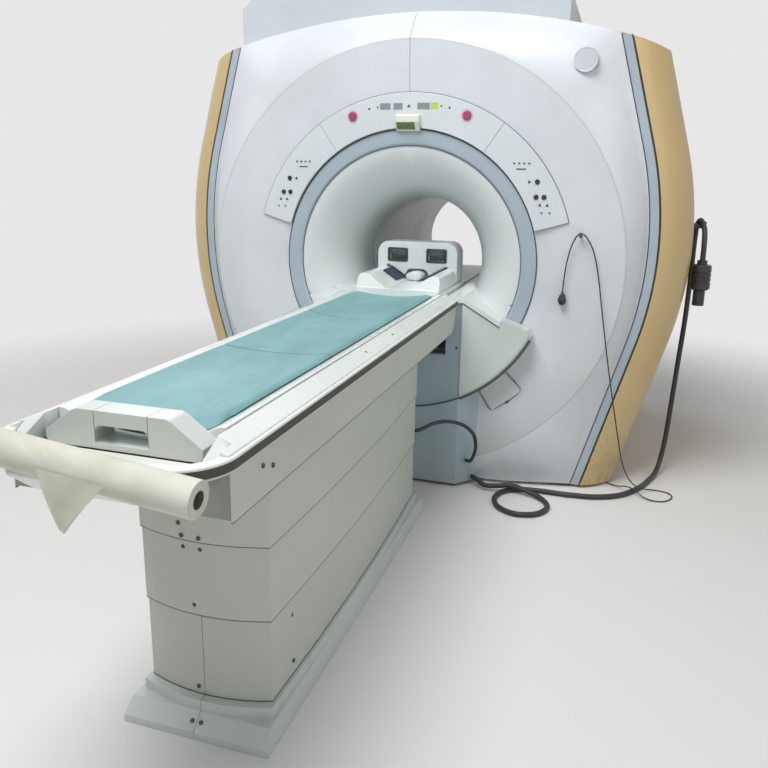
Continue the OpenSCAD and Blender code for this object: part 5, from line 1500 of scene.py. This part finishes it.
class MRI_OT_stage(bpy.types.Operator):
    """Sets the floor, the lamps, the world and the camera"""

    bl_idname = "mri.stage"
    bl_label = "Stage"

    # The camera's place, turn, tilt and roll, its lens and sensor in millimetres, its shift and its reach.
    PLACE, YAW, PITCH, ROLL = (0.985, -4.283, 1.475), 0.305678, -0.236916, 0.014443
    LENS, SENSOR, SHIFT, FAR = 34.91, 36.0, (-0.0027, -0.0385), 200.0
    FLOOR_Z, FLOOR_SIZE = -0.0005, 120.0
    # The middle of the shadow on the floor, and the distances between which the floor runs out into the back.
    SHADOW_Y, SHADOW_ENDS = -0.8, (2.3, 4.8)
    WHITE = (1.0, 1.0, 1.0)

    def execute(self, context):
        settings, scene = context.scene.mri_stage, context.scene
        camera = bpy.data.objects.new("camera", bpy.data.cameras.new("camera"))
        scene.collection.objects.link(camera)
        camera.matrix_world = (
            Matrix.Translation(self.PLACE) @ Matrix.Rotation(self.YAW, 4, "Z")
            @ Matrix.Rotation(math.pi / 2 + self.PITCH, 4, "X") @ Matrix.Rotation(self.ROLL, 4, "Z"))
        camera.data.lens = self.LENS
        camera.data.sensor_width = self.SENSOR
        camera.data.shift_x, camera.data.shift_y = self.SHIFT
        camera.data.clip_end = self.FAR
        scene.camera = camera
        floor = primitive("studio_floor", "plane", (0, 0, self.FLOOR_Z), size=self.FLOOR_SIZE)
        painted(floor, self.floor_paint(tuple(settings.floor_colour), settings.back_level))
        for name, place, aim, size, power in (
                ("key_lamp", (-0.7, -3.9, 6.0), (0.0, -1.3, 0.9), 3.6, settings.key_power),
                ("fill_lamp", (4.4, -4.6, 3.4), (0.2, -0.9, 0.9), 4.0, settings.fill_power),
                ("rim_lamp", (-3.2, 3.2, 4.2), (0.0, 0.2, 1.2), 4.0, settings.fill_power)):
            self.lamp(name, place, aim, size, power)
        world = bpy.data.worlds.new("studio")
        scene.world = world
        world.use_nodes = True
        self.backdrop(Nodes(world.node_tree), settings)
        scene.view_settings.view_transform = "Standard"
        return {"FINISHED"}

    def backdrop(self, nodes, settings):
        """Even pale light from all round; the camera, gloss and glass see the plain back colour."""
        light, back = (nodes.node("ShaderNodeBackground", None, {"Color": self.WHITE, "Strength": level})[0]
                       for level in (settings.world_level, settings.back_level))
        nodes.node("ShaderNodeOutputWorld", None, {"Surface": nodes.blended(nodes.seen_rays(), light, back)})

    def floor_paint(self, colour, back_level):
        """Pale floor that keeps the shadow near the object and runs out into the plain back colour."""
        p = Paint("studio_floor")
        x, y, _ = p.axes()
        p.finish(Base_Color=p.mix(p.noise(0.8, 3.0, 0.5) * 0.25, colour, shade(colour, 0.96)), Roughness=0.7)
        y = y - self.SHADOW_Y
        far = (x * x + y * y).power(0.5).step(*self.SHADOW_ENDS)
        glow = p.node("ShaderNodeEmission", None, {"Color": self.WHITE, "Strength": back_level})[0]
        mixed = p.blended(far * p.seen_rays(), Value(p, p.shader.outputs["BSDF"]), glow)
        p.feed(p.output.inputs["Surface"], mixed)
        return p.material

    def lamp(self, name, place, aim, size, power):
        data = bpy.data.lights.new(name, "AREA")
        data.shape = "DISK"
        data.size = size
        data.energy = power
        lamp = bpy.data.objects.new(name, data)
        bpy.context.scene.collection.objects.link(lamp)
        lamp.location = place
        lamp.rotation_euler = (Vector(aim) - Vector(place)).to_track_quat("-Z", "Y").to_euler()


PARTS = [MRI_OT_stage, MRI_OT_cords, MRI_OT_front_covers, MRI_OT_side_covers, MRI_OT_roof_and_rear,
         MRI_OT_bore, MRI_OT_controls, MRI_OT_dock, MRI_OT_inside, MRI_OT_pedestal, MRI_OT_table_top,
         MRI_OT_cradle, MRI_OT_head_coil, MRI_OT_paper]
GROUPS = {"mri_stage": StageSettings, "mri_cords": CordSettings, "mri_covers": CoverSettings,
          "mri_table": TableSettings}


class MRI_PT_panel(bpy.types.Panel):
    """Sizes, colours and building steps of the scanner"""

    bl_label = "MRI Scanner"
    bl_idname = "MRI_PT_panel"
    bl_space_type = "VIEW_3D"
    bl_region_type = "UI"
    bl_category = "MRI Scanner"

    def draw(self, context):
        for name, group in GROUPS.items():
            box = self.layout.box()
            for key in group.__annotations__:
                box.prop(getattr(context.scene, name), key)
        for part in PARTS:
            self.layout.operator(part.bl_idname)


def register():
    for group in GROUPS.values():
        bpy.utils.register_class(group)
    for name, group in GROUPS.items():
        setattr(bpy.types.Scene, name, PointerProperty(type=group))
    for part in [*PARTS, MRI_PT_panel]:
        bpy.utils.register_class(part)


def unregister():
    for part in reversed([*PARTS, MRI_PT_panel]):
        bpy.utils.unregister_class(part)
    for name in GROUPS:
        delattr(bpy.types.Scene, name)
    for group in GROUPS.values():
        bpy.utils.unregister_class(group)


def main():
    register()
    for part in PARTS:
        group, step = part.bl_idname.split(".")
        getattr(getattr(bpy.ops, group), step)()


if __name__ == "__main__":
    main()
